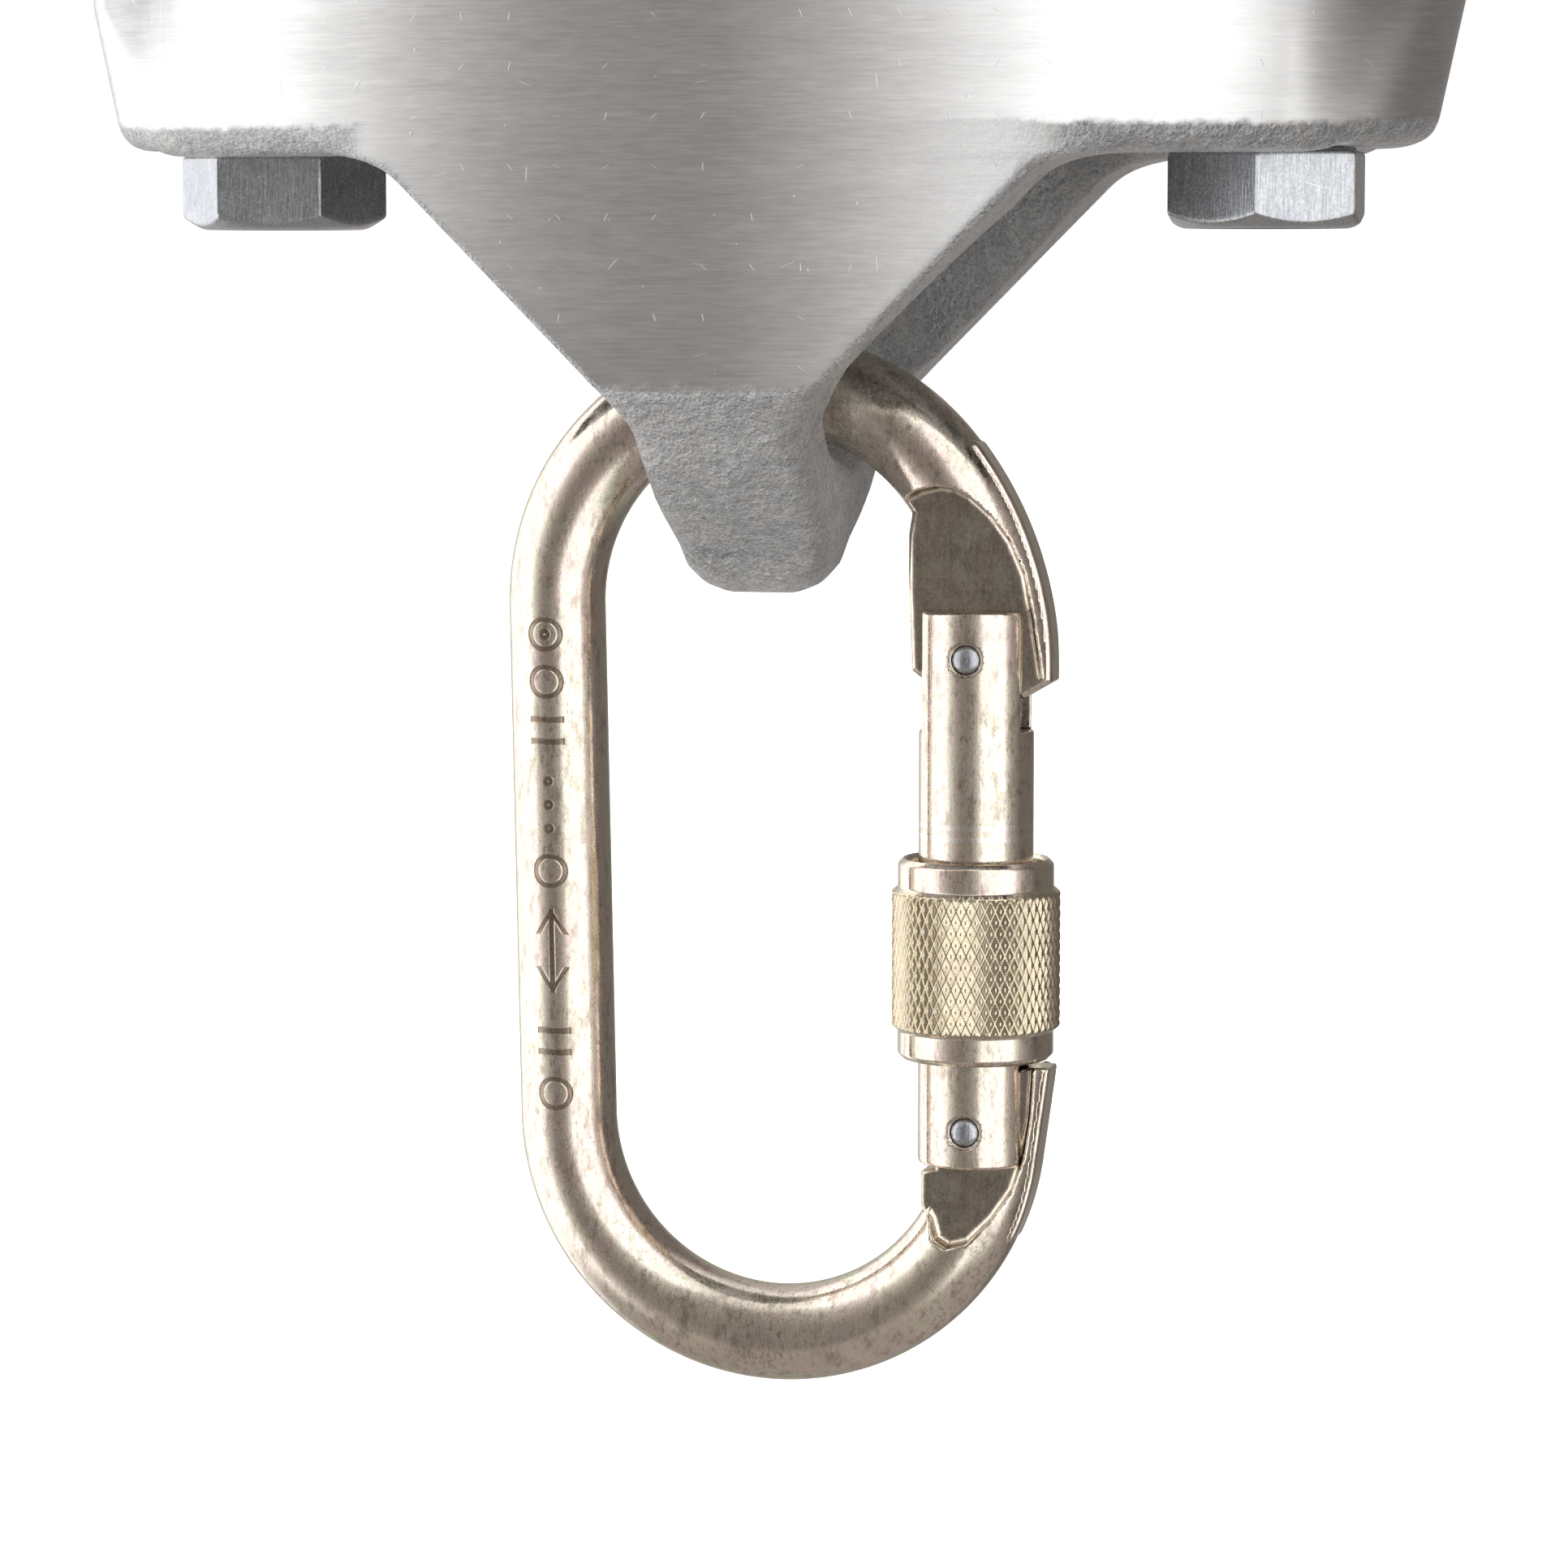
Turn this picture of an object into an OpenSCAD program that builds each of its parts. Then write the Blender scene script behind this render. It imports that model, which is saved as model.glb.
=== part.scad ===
// Roof anchor: a cast aluminium body that clamps under a beam flange with two
// bolted jaws, and a steel screw-gate karabiner that hangs in its eye.
// Millimetres, +Z up. The origin is the centre of the bearing face, the machined
// top of the body that the beam flange rests on. X runs along the wing, and the
// eye's axis is parallel to X.

/* [Anchor body] */
// Length of the wing over its rounded ends
wing_len = 145.2; // [145:0.2:147]
// Amount each end of the wing draws in at its underside
wing_flare = 3.2; // [1:0.2:4]
// Depth of the body from front to back
body_depth = 51; // [50:0.5:52]
// Height from the wing's underside to the bearing face
body_h = 36; // [34:0.5:38]
// Height of the machined pad above the two end shoulders
pad_h = 6; // [4:0.5:8]
// Half length of the machined pad
pad_half = 44; // [40:0.5:45]
// Half length of the flat middle of the wing's front and back
flat_half = 33; // [31:0.5:35]
// Angle at which the wing's sides draw in beyond the flat middle
flank = 15; // [14:0.5:15.5]
// Thickness of the front and back cheek plates
cheek_t = 11; // [9:0.5:12]
// Half width of the cheek plates where they meet the wing
cheek_half = 35.7; // [34:0.1:37]
// Radius of the fillet between a cheek plate's sloping edge and the wing
cheek_fillet = 7; // [4:0.5:9]

/* [Eye lug] */
// Thickness of the lug at its root
lug_root_t = 21.6; // [20:0.2:23]
// Thickness of the lug at its nose
lug_nose_t = 15.4; // [14.4:0.2:16]
// Depth of the lug's nose below the wing's underside
lug_drop = 46.7; // [46.5:0.1:47.2]
// Diameter of the eye
eye_d = 25; // [24.8:0.1:26]
// Depth of the eye's centre below the wing's underside
eye_drop = 18.7; // [18.5:0.1:18.9]

/* [Clamp bolts] */
// Distance of each bolt from the centre
bolt_x = 52.7; // [52.3:0.1:53.1]
// Thread size of the clamp bolts
bolt_d = 12; // [12]
// Length of the bolts under the head
bolt_len = 90; // [88:1:100]
// Width of the bolt heads across flats
bolt_af = 19; // [18:0.5:19]
// Height of the bolt heads with their washer face
bolt_head_h = 8.2; // [7.5:0.1:9]
// Turn of the left head about its own axis, in degrees
left_head_turn = 9.5; // [0:0.5:60]
// Turn of the right head about its own axis, in degrees
right_head_turn = 33; // [0:0.5:60]

/* [Clamp jaws] */
// Thickness of the beam flange that the jaws grip at rest
flange_t = 12; // [11:0.5:14]
// Half width of the gap between the two jaw noses
jaw_nose = 30; // [28:0.5:34]
// Thickness of a jaw over the flange
jaw_t = 16; // [14:0.5:18]
// Width of a jaw from front to back
jaw_w = 34; // [32:0.5:36]

/* [Karabiner] */
// Diameter of the karabiner's bar
bar_d = 10.2; // [10:0.1:10.3]
// Radius of the bows at the bar's centre
bow_r = 23.2; // [23.1:0.1:23.3]
// Radius of the wider bend that leads from the upper bow to the hinge
bow_hinge_r = 34.2; // [34.1:0.1:34.3]
// Sideways place of the upper bow's centre
kara_x = 0.6; // [0.5:0.05:0.7]
// Sideways place of the lower bow's centre
kara_low_x = 1.65; // [1.6:0.05:1.7]
// Height of the upper bow's centre below the wing's underside
bow_top = 47.2; // [47.15:0.05:47.3]
// Height of the lower bow's centre below the wing's underside
bow_bottom = 101.4; // [101.3:0.05:101.5]
// Thickness of the two flattened ends of the bar
blade_t = 5; // [4.8:0.1:5]

/* [Gate] */
// Diameter of the gate tube
gate_d = 12; // [12]
// Sideways place of the gate tube's axis
gate_x = 22.75; // [22.7:0.05:22.8]
// Depth of the gate tube's upper end below the wing's underside
gate_top = 47.5; // [47.5:0.1:47.8]
// Depth of the gate tube's lower end below the wing's underside
gate_bottom = 105.5; // [105.3:0.1:105.6]
// Depth of the hinge pin below the wing's underside
hinge_drop = 52.4; // [52.4]
// Depth of the latch pin below the wing's underside
latch_drop = 101.6; // [101.6]
// Diameter of the hinge and latch pins
pin_d = 3; // [3]

/* [Locking sleeve] */
// Depth of the sleeve's upper end below the wing's underside
sleeve_top = 73.4; // [73.2:0.1:73.5]
// Length of the sleeve
sleeve_len = 21; // [20.8:0.1:21.1]
// Diameter of the sleeve's two plain collars
sleeve_d = 16.3; // [16.2:0.1:16.6]
// Diameter over the knurling
knurl_d = 17.7; // [17.2:0.05:17.8]
// Bore of the sleeve's open mouths
sleeve_mouth_d = 14.4; // [14.2:0.1:14.6]

/* [Hidden] */

running_gap = 0.05;      // radial running clearance of turning and sliding fits
lap = 0.01;              // overlap or margin between touching shapes
bolt_r = bolt_d / 2;
bolt_hole_r = bolt_r + 0.5;
bar_r = bar_d / 2;
gate_r = gate_d / 2;
pin_r = pin_d / 2;
jaw_color = [0.55, 0.57, 0.60];
pin_color = [0.80, 0.74, 0.58];

// ---- helpers -------------------------------------------------------------

// Puts pieces that are measured from the wing's underside into the part's frame
module from_wing() translate([0, 0, -body_h]) children();

// The children at +X, and their mirror image at -X
module both_sides() for (s = [0, 1]) mirror([s, 0, 0]) children();

// A profile drawn in X and Z, thickened along Y from y0 to y1
module slab_y(y0, y1)
    translate([0, y1, 0]) rotate([90, 0, 0]) linear_extrude(height = y1 - y0) children();

// A profile drawn in Y and Z, thickened along X from x0 to x1
module slab_x(x0, x1)
    translate([x0, 0, 0]) rotate([90, 0, 90]) linear_extrude(height = x1 - x0) children();

// A round rod along Y from y0 to y1, its axis at x and z
module rod_y(radius, x, z, y0, y1, facets = 64)
    translate([x, y1, z]) rotate([90, 0, 0]) cylinder(r = radius, h = y1 - y0, $fn = facets);

// A polygon given by its right side, closed by that side's mirror image
module symmetric_polygon(side)
    polygon(concat(side, [for (i = [len(side) - 1:-1:0]) [-side[i].x, side[i].y]]));

// A rectangle from x0 to x1, centred on the X axis, with round corners
module rounded_rect(x0, x1, half_w, radius) {
    translate([x0 + radius, -half_w]) square([x1 - x0 - 2 * radius, 2 * half_w]);
    translate([x0, -half_w + radius]) square([x1 - x0, 2 * half_w - 2 * radius]);
    for (x = [x0 + radius, x1 - radius], y = [-half_w + radius, half_w - radius])
        translate([x, y]) circle(r = radius, $fn = 32);
}

module hexagon(across_flats, h) cylinder(r = across_flats / 2 / cos(30), h = h, $fn = 6);

// A helical spring of round wire, with flat-cut ends
module coil(radius, wire_r, z0, z1, turns, per_turn = 18, sides = 8) {
    steps = turns * per_turn;
    points = [for (i = [0:steps], j = [0:sides - 1])
        let (turn = 360 * i / per_turn, around = 360 * j / sides, reach = radius + wire_r * cos(around))
        [reach * cos(turn), reach * sin(turn), z0 + (z1 - z0) * i / steps + wire_r * sin(around)]];
    walls = [for (i = [0:steps - 1], j = [0:sides - 1])
        let (k = (j + 1) % sides, ring = i * sides, next = ring + sides)
        each [[ring + j, next + j, next + k], [ring + j, next + k, ring + k]]];
    start_cap = [for (j = [0:sides - 1]) j];
    end_cap = [for (j = [sides - 1:-1:0]) steps * sides + j];
    polyhedron(points = points, faces = concat([start_cap, end_cap], walls));
}

// ---- anchor body ---------------------------------------------------------

half_len = wing_len / 2;
half_dep = body_depth / 2;
flare_top = 16;          // height at which the wing's ends reach full length
flare_margin = 0.2;      // how far the flare's outline stands clear of the ends above that
lug_nose_r = 7.7;        // radius of the lug's nose, seen along X
lug_reach = 20;          // half length in X of the lug's side profile and the eye's bore
eye_flare_x = 5.3;       // where the eye begins to open out
eye_flare_r = 3.2;       // how far its radius grows over eye_flare_h
eye_flare_h = 6;
leg_x = [61.5, 68.5];    // pocket of a jaw's leg, from its inner to its outer side
leg_half = 8;
leg_pocket_depth = 24;
core_x = [15, 39];       // cored pocket, from its inner to its outer side
core_half = 14;
core_floor = 9;

// The wing's round end is the circle that touches both drawn-in sides and reaches half_len
end_r = (half_dep - (half_len - flat_half) * tan(flank))
    / (cos(flank) - (1 - sin(flank)) * tan(flank));
end_x = half_len - end_r;
touch_x = end_x + end_r * sin(flank);
touch_y = end_r * cos(flank);

// A flat middle whose sides draw in to half width y at x
module tapered_plan(x, y)
    symmetric_polygon([[flat_half, -half_dep], [x, -y], [x, y], [flat_half, half_dep]]);

// The wing up to its shoulders, drawn in at both ends towards its underside
module wing() {
    shoulder_h = body_h - pad_h;
    full_x = half_len + flare_margin;
    foot_x = half_len - wing_flare;
    intersection() {
        union() {
            linear_extrude(height = shoulder_h) tapered_plan(touch_x, touch_y);
            for (s = [-1, 1])
                translate([s * end_x, 0, 0]) cylinder(r = end_r, h = shoulder_h, $fn = 96);
        }
        slab_y(-half_dep - 1, half_dep + 1) symmetric_polygon([
            [foot_x, -1], [foot_x, 0], [full_x, flare_top], [full_x, body_h]]);
    }
}

module machined_pad()
    translate([0, 0, body_h - pad_h - 1]) linear_extrude(height = pad_h + 1)
        tapered_plan(pad_half, half_dep - (pad_half - flat_half) * tan(flank));

// The fillet under the wing, then the 45 degree edge down to the lug
module cheek_outline() {
    fillet_x = cheek_half + cheek_fillet * tan(22.5);
    tip = cheek_half - lug_nose_t / 2;
    symmetric_polygon(concat(
        [[cheek_half + 2, 2]],
        [for (a = [90:7.5:135]) [fillet_x + cheek_fillet * cos(a), cheek_fillet * (sin(a) - 1)]],
        [[lug_nose_t / 2, -tip]]));
}

// The lug in Y and Z: full depth at the root, then tapering to a round nose
module lug_side_outline() {
    nose_z = -lug_drop + lug_nose_r;
    symmetric_polygon([[half_dep, 1], [half_dep, -24], [21, -28.6], [17.85, -32.7],
        [13.5, -36.8], [7.5, -40.9], [5.2, nose_z - 5.68]]);
    translate([0, nose_z]) circle(r = lug_nose_r, $fn = 96);
}

// The lug in X and Z
module lug_front_outline() {
    nose = lug_nose_t / 2;
    symmetric_polygon([[lug_root_t / 2, 1], [lug_root_t / 2, -22], [nose + 1.5, -28],
        [nose + 0.8, -38], [nose - 0.4, -43.1], [nose - 1.9, -45.4],
        [nose - 4.2, -lug_drop - 0.2]]);
}

module eye_lug() intersection() {
    slab_y(-half_dep, half_dep) lug_front_outline();
    slab_x(-lug_reach, lug_reach) lug_side_outline();
}

// The eye's bore, opened out towards both faces of the lug
module eye_cut() translate([0, 0, -eye_drop]) {
    translate([-lug_reach, 0, 0]) rotate([0, 90, 0])
        cylinder(d = eye_d, h = 2 * lug_reach, $fn = 96);
    both_sides() translate([eye_flare_x, 0, 0]) rotate([0, 90, 0])
        cylinder(r1 = eye_d / 2, r2 = eye_d / 2 + eye_flare_r, h = eye_flare_h, $fn = 96);
}

module anchor_body() color([0.78, 0.79, 0.81]) from_wing() difference() {
    union() {
        wing();
        machined_pad();
        // front and back cheeks
        slab_y(-half_dep, -half_dep + cheek_t) cheek_outline();
        slab_y(half_dep - cheek_t, half_dep) cheek_outline();
        eye_lug();
    }
    eye_cut();
    // clearance bores of the clamp bolts
    for (s = [-1, 1])
        translate([s * bolt_x, 0, -1]) cylinder(r = bolt_hole_r, h = body_h + 2, $fn = 64);
    both_sides() {
        // guide pocket of a jaw's leg
        translate([0, 0, body_h - leg_pocket_depth]) linear_extrude(height = 30)
            rounded_rect(leg_x[0], leg_x[1], leg_half, 1.5);
        // cored pocket in the bearing face
        translate([0, 0, core_floor]) linear_extrude(height = body_h)
            rounded_rect(core_x[0], core_x[1], core_half, 4);
    }
}

// ---- clamp bolts ---------------------------------------------------------

washer_face_r = 9;
washer_face_h = 0.4;
head_chamfer_h = 1.6;
bolt_tip_h = 1;          // height of the chamfered tip, and how far its radius draws in

// Hexagon head with its lower rim chamfered, standing on z = 0
module bolt_head() {
    rim_r = bolt_af / 2 + 1.9;
    intersection() {
        hexagon(bolt_af, bolt_head_h - washer_face_h);
        union() {
            cylinder(r1 = bolt_af / 2 - 0.95, r2 = rim_r, h = head_chamfer_h, $fn = 96);
            translate([0, 0, head_chamfer_h]) cylinder(r = rim_r, h = bolt_head_h, $fn = 96);
        }
    }
}

module clamp_bolt(x, turn) color([0.72, 0.74, 0.77]) from_wing() translate([x, 0, 0]) {
    shank_h = bolt_len - 0.8;
    rotate([0, 0, turn]) translate([0, 0, -bolt_head_h]) bolt_head();
    translate([0, 0, -washer_face_h - 0.2])
        cylinder(r = washer_face_r, h = washer_face_h + 0.18, $fn = 96);
    translate([0, 0, -washer_face_h]) {
        cylinder(d = bolt_d, h = shank_h, $fn = 96);
        translate([0, 0, shank_h - lap])
            cylinder(r1 = bolt_r, r2 = bolt_r - bolt_tip_h, h = bolt_tip_h, $fn = 96);
    }
}
module clamp_bolt_left() clamp_bolt(-bolt_x, left_head_turn);
module clamp_bolt_right() clamp_bolt(bolt_x, right_head_turn);

// ---- clamp jaws ----------------------------------------------------------

jaw_top = flange_t + jaw_t;
jaw_gap = 0.05;          // gap under a jaw's heel at rest
heel_x = 60;             // inner side of the heel
jaw_end_x = 72;          // outer end of the jaw
jaw_envelope_h = 60;     // height of the rounded plan that trims the jaw
leg_gap = 0.2;           // clearance around the leg in its pocket
leg_bottom = -22;
leg_h = 20;
nut_floor = jaw_top - 5; // floor of the nut's hexagon pocket

// The right jaw: a strap whose heel stands on the wing's shoulder, whose leg is
// guided in a pocket, and whose nose reaches over the beam flange
module jaw_right() difference() {
    round_x = jaw_end_x - jaw_w / 2;
    heel_z = -pad_h + jaw_gap;
    union() {
        intersection() {
            slab_y(-jaw_w / 2, jaw_w / 2) polygon([[jaw_nose, flange_t], [heel_x, flange_t],
                [heel_x, heel_z], [jaw_end_x, heel_z], [jaw_end_x, jaw_top - 6],
                [jaw_end_x - 6, jaw_top], [jaw_nose + 8, jaw_top], [jaw_nose, jaw_top - 7]]);
            translate([0, 0, -pad_h]) union() {
                translate([jaw_nose, -jaw_w / 2, 0])
                    cube([round_x - jaw_nose, jaw_w, jaw_envelope_h]);
                translate([round_x, 0, 0]) cylinder(d = jaw_w, h = jaw_envelope_h, $fn = 96);
            }
        }
        translate([0, 0, leg_bottom]) linear_extrude(height = leg_h)
            rounded_rect(leg_x[0] + leg_gap, leg_x[1] - leg_gap, leg_half - leg_gap, 1.4);
    }
    translate([bolt_x, 0, flange_t - 1]) cylinder(r = bolt_hole_r, h = jaw_t + 2, $fn = 64);
    translate([bolt_x, 0, nut_floor]) hexagon(bolt_af + 0.2, 10);
}
module clamp_jaw_right() color(jaw_color) jaw_right();
module clamp_jaw_left() color(jaw_color) mirror([1, 0, 0]) jaw_right();

// ---- nuts ----------------------------------------------------------------

nut_hex_h = 10;
nut_h = 14;
nut_chamfer_h = 0.9;
nut_collar_r = 8.6;
insert_groove_r = 7.3;   // groove that holds the locking ring
insert_groove_h = 2.6;
insert_groove_z = nut_hex_h + 0.4;

// Hexagon chamfered at both ends
module nut_hexagon() {
    face_r = bolt_af / 2 + 0.2;
    rim_r = bolt_af / 2 + 1.7;
    intersection() {
        hexagon(bolt_af, nut_hex_h);
        union() {
            cylinder(r1 = face_r, r2 = rim_r, h = nut_chamfer_h, $fn = 96);
            translate([0, 0, nut_chamfer_h])
                cylinder(r = rim_r, h = nut_hex_h - 2 * nut_chamfer_h, $fn = 96);
            translate([0, 0, nut_hex_h - nut_chamfer_h])
                cylinder(r1 = rim_r, r2 = face_r, h = nut_chamfer_h, $fn = 96);
        }
    }
}

// Lock nut that can't turn in the jaw's hexagon pocket
module jaw_nut(x) color([0.74, 0.75, 0.78]) translate([x, 0, nut_floor + lap]) difference() {
    union() {
        nut_hexagon();
        translate([0, 0, nut_hex_h - 0.5])
            cylinder(r = nut_collar_r, h = nut_h - nut_hex_h - 0.5, $fn = 96);
        translate([0, 0, nut_h - 1 - lap])
            cylinder(r1 = nut_collar_r, r2 = nut_collar_r - 1, h = 1, $fn = 96);
    }
    translate([0, 0, -1]) cylinder(r = bolt_r + running_gap, h = nut_h + 2, $fn = 96);
    translate([0, 0, insert_groove_z])
        cylinder(r = insert_groove_r, h = insert_groove_h, $fn = 96);
}
module jaw_nut_left() jaw_nut(-bolt_x);
module jaw_nut_right() jaw_nut(bolt_x);

// Nylon locking ring held in the nut's collar
module nut_insert(x) color([0.90, 0.90, 0.86])
translate([x, 0, nut_floor + insert_groove_z + 0.02]) difference() {
    cylinder(r = insert_groove_r - lap, h = insert_groove_h - 0.03, $fn = 96);
    translate([0, 0, -1]) cylinder(r = bolt_r + running_gap, h = 6, $fn = 96);
}
module nut_insert_left() nut_insert(-bolt_x);
module nut_insert_right() nut_insert(bolt_x);

// ---- karabiner -----------------------------------------------------------

lean = atan((kara_low_x - kara_x) / (bow_bottom - bow_top));  // lean of the spine
spine_len = norm([kara_low_x - kara_x, bow_bottom - bow_top]);
bend = 38;                                             // angle where the wider bend begins
hinge_cx = kara_x - (bow_hinge_r - bow_r) * cos(bend); // centre of the wider bend
hinge_cz = -bow_top - (bow_hinge_r - bow_r) * sin(bend);
bar_x = hinge_cx + bow_hinge_r;                        // axis of the bar's hinge end
bar_out_x = bar_x + bar_r;                             // its outer side
hinge_end_z = -54.7;                                   // lower end of the hinge end
nose_a = 8;                                            // outward lean of the nose
nose_x = kara_low_x + bow_r * cos(nose_a);             // where the nose's straight begins
nose_z = -bow_bottom - bow_r * sin(nose_a);
nose_top = -95;
join = 0.3;                                            // overlap of the bar's straight lengths
cut_half = 6;                                          // half depth in Y of cuts through the bar
trim_x = 10;                                           // inner side of the boxes around the ends
trim_w = 30;
trim_z = -60;                                          // floor of the boxes at the hinge end
flat_ranges = [[-cut_half, -blade_t / 2], [blade_t / 2, cut_half]]; // Y ranges beside a blade

// A bow of the bar: a ring sector in the XZ plane, swept counter-clockwise from a start angle
module bow(x, z, radius, start, sweep, thinner = 0)
    translate([x, 0, z]) rotate([90, 0, 0]) rotate([0, 0, start])
        rotate_extrude(angle = sweep, $fn = 128)
            translate([radius, 0]) circle(r = bar_r - thinner, $fn = 48);

// The round bar. Its lengths overlap a little, each one a hair thinner than the one it enters
module round_bar() {
    bow(kara_x, -bow_top, bow_r, bend, 180 + lean - bend);
    bow(kara_low_x, -bow_bottom, bow_r, 180 + lean, 180 - lean - nose_a);
    bow(hinge_cx, hinge_cz, bow_hinge_r, 0, bend + 0.6, 0.02);
    // spine
    translate([kara_x, 0, -bow_top]) rotate([0, -lean, 0])
        translate([-bow_r, 0, -spine_len - join])
            cylinder(r = bar_r - 0.02, h = spine_len + 2 * join, $fn = 48);
    // hinge end
    translate([bar_x, 0, hinge_end_z])
        cylinder(r = bar_r - 0.04, h = hinge_cz - hinge_end_z + join, $fn = 48);
    // nose
    translate([nose_x, 0, nose_z]) rotate([0, nose_a, 0]) translate([0, 0, -join])
        cylinder(r = bar_r - 0.02, h = (nose_top - nose_z) / cos(nose_a) + 1.5, $fn = 48);
}

// Milled flats of both ends, cut on each side of the blades
module milled_flats() for (y = flat_ranges) {
    // hinge end
    rod_y(10, 18.7, -44.8, y[0], y[1], 96);
    slab_y(y[0], y[1])
        polygon([[12, -44.8], [28.6, -44.8], [30.2, -54.4], [30.3, trim_z], [12, trim_z]]);
    // nose end
    rod_y(10.8, 18.5, -102.2, y[0], y[1], 96);
    translate([14, y[0], -103]) cube([15.2, y[1] - y[0], 10]);
}

// Ends the round bar above the nose and where the shaped blades begin
module end_trims() {
    translate([trim_x, -cut_half, nose_top]) cube([trim_w, 2 * cut_half, 8.5]);
    for (z = [trim_z, -106.1])
        translate([trim_x, -blade_t / 2 - lap, z]) cube([trim_w, blade_t + 2 * lap, 20]);
}

// Flattened hinge end: its lower edge is a cam that pushes the spring plunger
module hinge_blade() intersection() {
    slab_y(-blade_t / 2, blade_t / 2) polygon([[17.2, -34.6], [15.9, -38.6], [15.8, -44],
        [16.2, -53.8], [gate_x - 3.3, -hinge_drop - 3.9], [gate_x + 5.35, -hinge_drop - 4.1],
        [bar_out_x, hinge_end_z], [bar_out_x, -30], [20.5, -30]]);
    union() {
        rod_y(bow_hinge_r + bar_r, hinge_cx, hinge_cz, -cut_half, cut_half, 200);
        translate([trim_x, -cut_half, trim_z])
            cube([bar_out_x - trim_x, 2 * cut_half, hinge_cz - trim_z]);
    }
}

// Flattened nose end, with the notch that takes the latch pin
module nose_blade() {
    outer_x = nose_x + bar_r * cos(nose_a); // where the nose's outer side leaves the bow
    outer_z = nose_z - bar_r * sin(nose_a);
    over_z = nose_top + 1;
    notch_top = -latch_drop + 2;
    notch_bottom = -latch_drop - 1.75;
    difference() {
        intersection() {
            slab_y(-blade_t / 2, blade_t / 2) polygon([
                [18.95, -gate_bottom - 0.5], [17.4, -gate_bottom - 0.5], [17.4, -110],
                [20, -116], [bar_out_x, -112], [bar_out_x, nose_top], [29.2, nose_top],
                [26.7, -95.35], [22.2, -95.5], [20, -95.9], [18.95, -97]]);
            union() {
                rod_y(bow_r + bar_r, kara_low_x, -bow_bottom, -cut_half, cut_half, 160);
                slab_y(-cut_half, cut_half) polygon([[trim_x, outer_z], [outer_x, outer_z],
                    [outer_x + (over_z - outer_z) * tan(nose_a), over_z], [trim_x, over_z]]);
            }
        }
        slab_y(-cut_half, cut_half) polygon([[gate_x, notch_top], [gate_x - 10, notch_top],
            [gate_x - 10, notch_bottom], [gate_x, notch_bottom]]);
        rod_y(2, gate_x, -latch_drop, -cut_half, cut_half);
    }
}

module karabiner_body() color([0.75, 0.70, 0.58]) from_wing() difference() {
    union() {
        difference() {
            union() round_bar();
            milled_flats();
            end_trims();
        }
        hinge_blade();
        nose_blade();
    }
    rod_y(pin_r + running_gap, gate_x, -hinge_drop, -cut_half, cut_half);
}

// ---- gate ----------------------------------------------------------------

gate_len = gate_bottom - gate_top;
gate_chamfer = 0.6;
slot_half = blade_t / 2 + 0.2;
pin_len = gate_d - 0.1;
chamber_top = 55.6;      // depths of the spring chamber's ends below the wing's underside
spring_floor = 79;
plunger_r = 3.6;
plunger_top = hinge_drop + 4.15;
spring_top = plunger_top + 4.2;
spring_seat = 0.45;      // from each end of the spring's space to the wire's centre

// The plain tube with both rims chamfered, standing on z = 0
module gate_blank() {
    rim_r = gate_r - gate_chamfer;
    cone_h = gate_chamfer + lap;
    translate([0, 0, gate_chamfer])
        cylinder(r = gate_r, h = gate_len - 2 * gate_chamfer, $fn = 96);
    cylinder(r1 = rim_r, r2 = gate_r, h = cone_h, $fn = 96);
    translate([0, 0, gate_len - cone_h]) cylinder(r1 = gate_r, r2 = rim_r, h = cone_h, $fn = 96);
}

module gate_tube() color([0.76, 0.72, 0.60]) from_wing() difference() {
    translate([gate_x, 0, -gate_bottom]) union() gate_blank();
    // spring chamber
    translate([gate_x, 0, -spring_floor])
        cylinder(r = plunger_r + running_gap, h = spring_floor - chamber_top, $fn = 96);
    // upper slot, right through
    translate([gate_x - 8, -slot_half, -60]) cube([16, 2 * slot_half, 20]);
    // lower slot, open to the outer side and the end
    translate([gate_x - 4.15, -slot_half, -gate_bottom - 2])
        cube([12, 2 * slot_half, gate_bottom + 2 - 94.8]);
    for (drop = [hinge_drop, latch_drop]) rod_y(pin_r + 0.005, gate_x, -drop, -8, 8);
}

module gate_pin(drop) color(pin_color) from_wing()
    rod_y(pin_r, gate_x, -drop, -pin_len / 2, pin_len / 2);
module hinge_pin() gate_pin(hinge_drop);
module latch_pin() gate_pin(latch_drop);

// Round head with a thinner stem that stands inside the spring
module spring_plunger() color([0.66, 0.67, 0.70]) from_wing()
translate([gate_x, 0, -spring_top]) {
    cylinder(r = plunger_r, h = spring_top - plunger_top, $fn = 96);
    translate([0, 0, -4]) cylinder(r = 2, h = 4.5, $fn = 48);
}

module gate_spring() color([0.60, 0.61, 0.64]) from_wing() translate([gate_x, 0, 0])
    coil(radius = 2.95, wire_r = 0.42, z0 = -spring_floor + spring_seat,
        z1 = -spring_top - spring_seat, turns = 8);

// ---- locking sleeve ------------------------------------------------------

sleeve_bottom_z = -sleeve_top - sleeve_len;
groove_r = 7;            // groove of the friction ring
groove_z = [9.7, 11.9];  // its lower and upper sides above the sleeve's lower end

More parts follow.
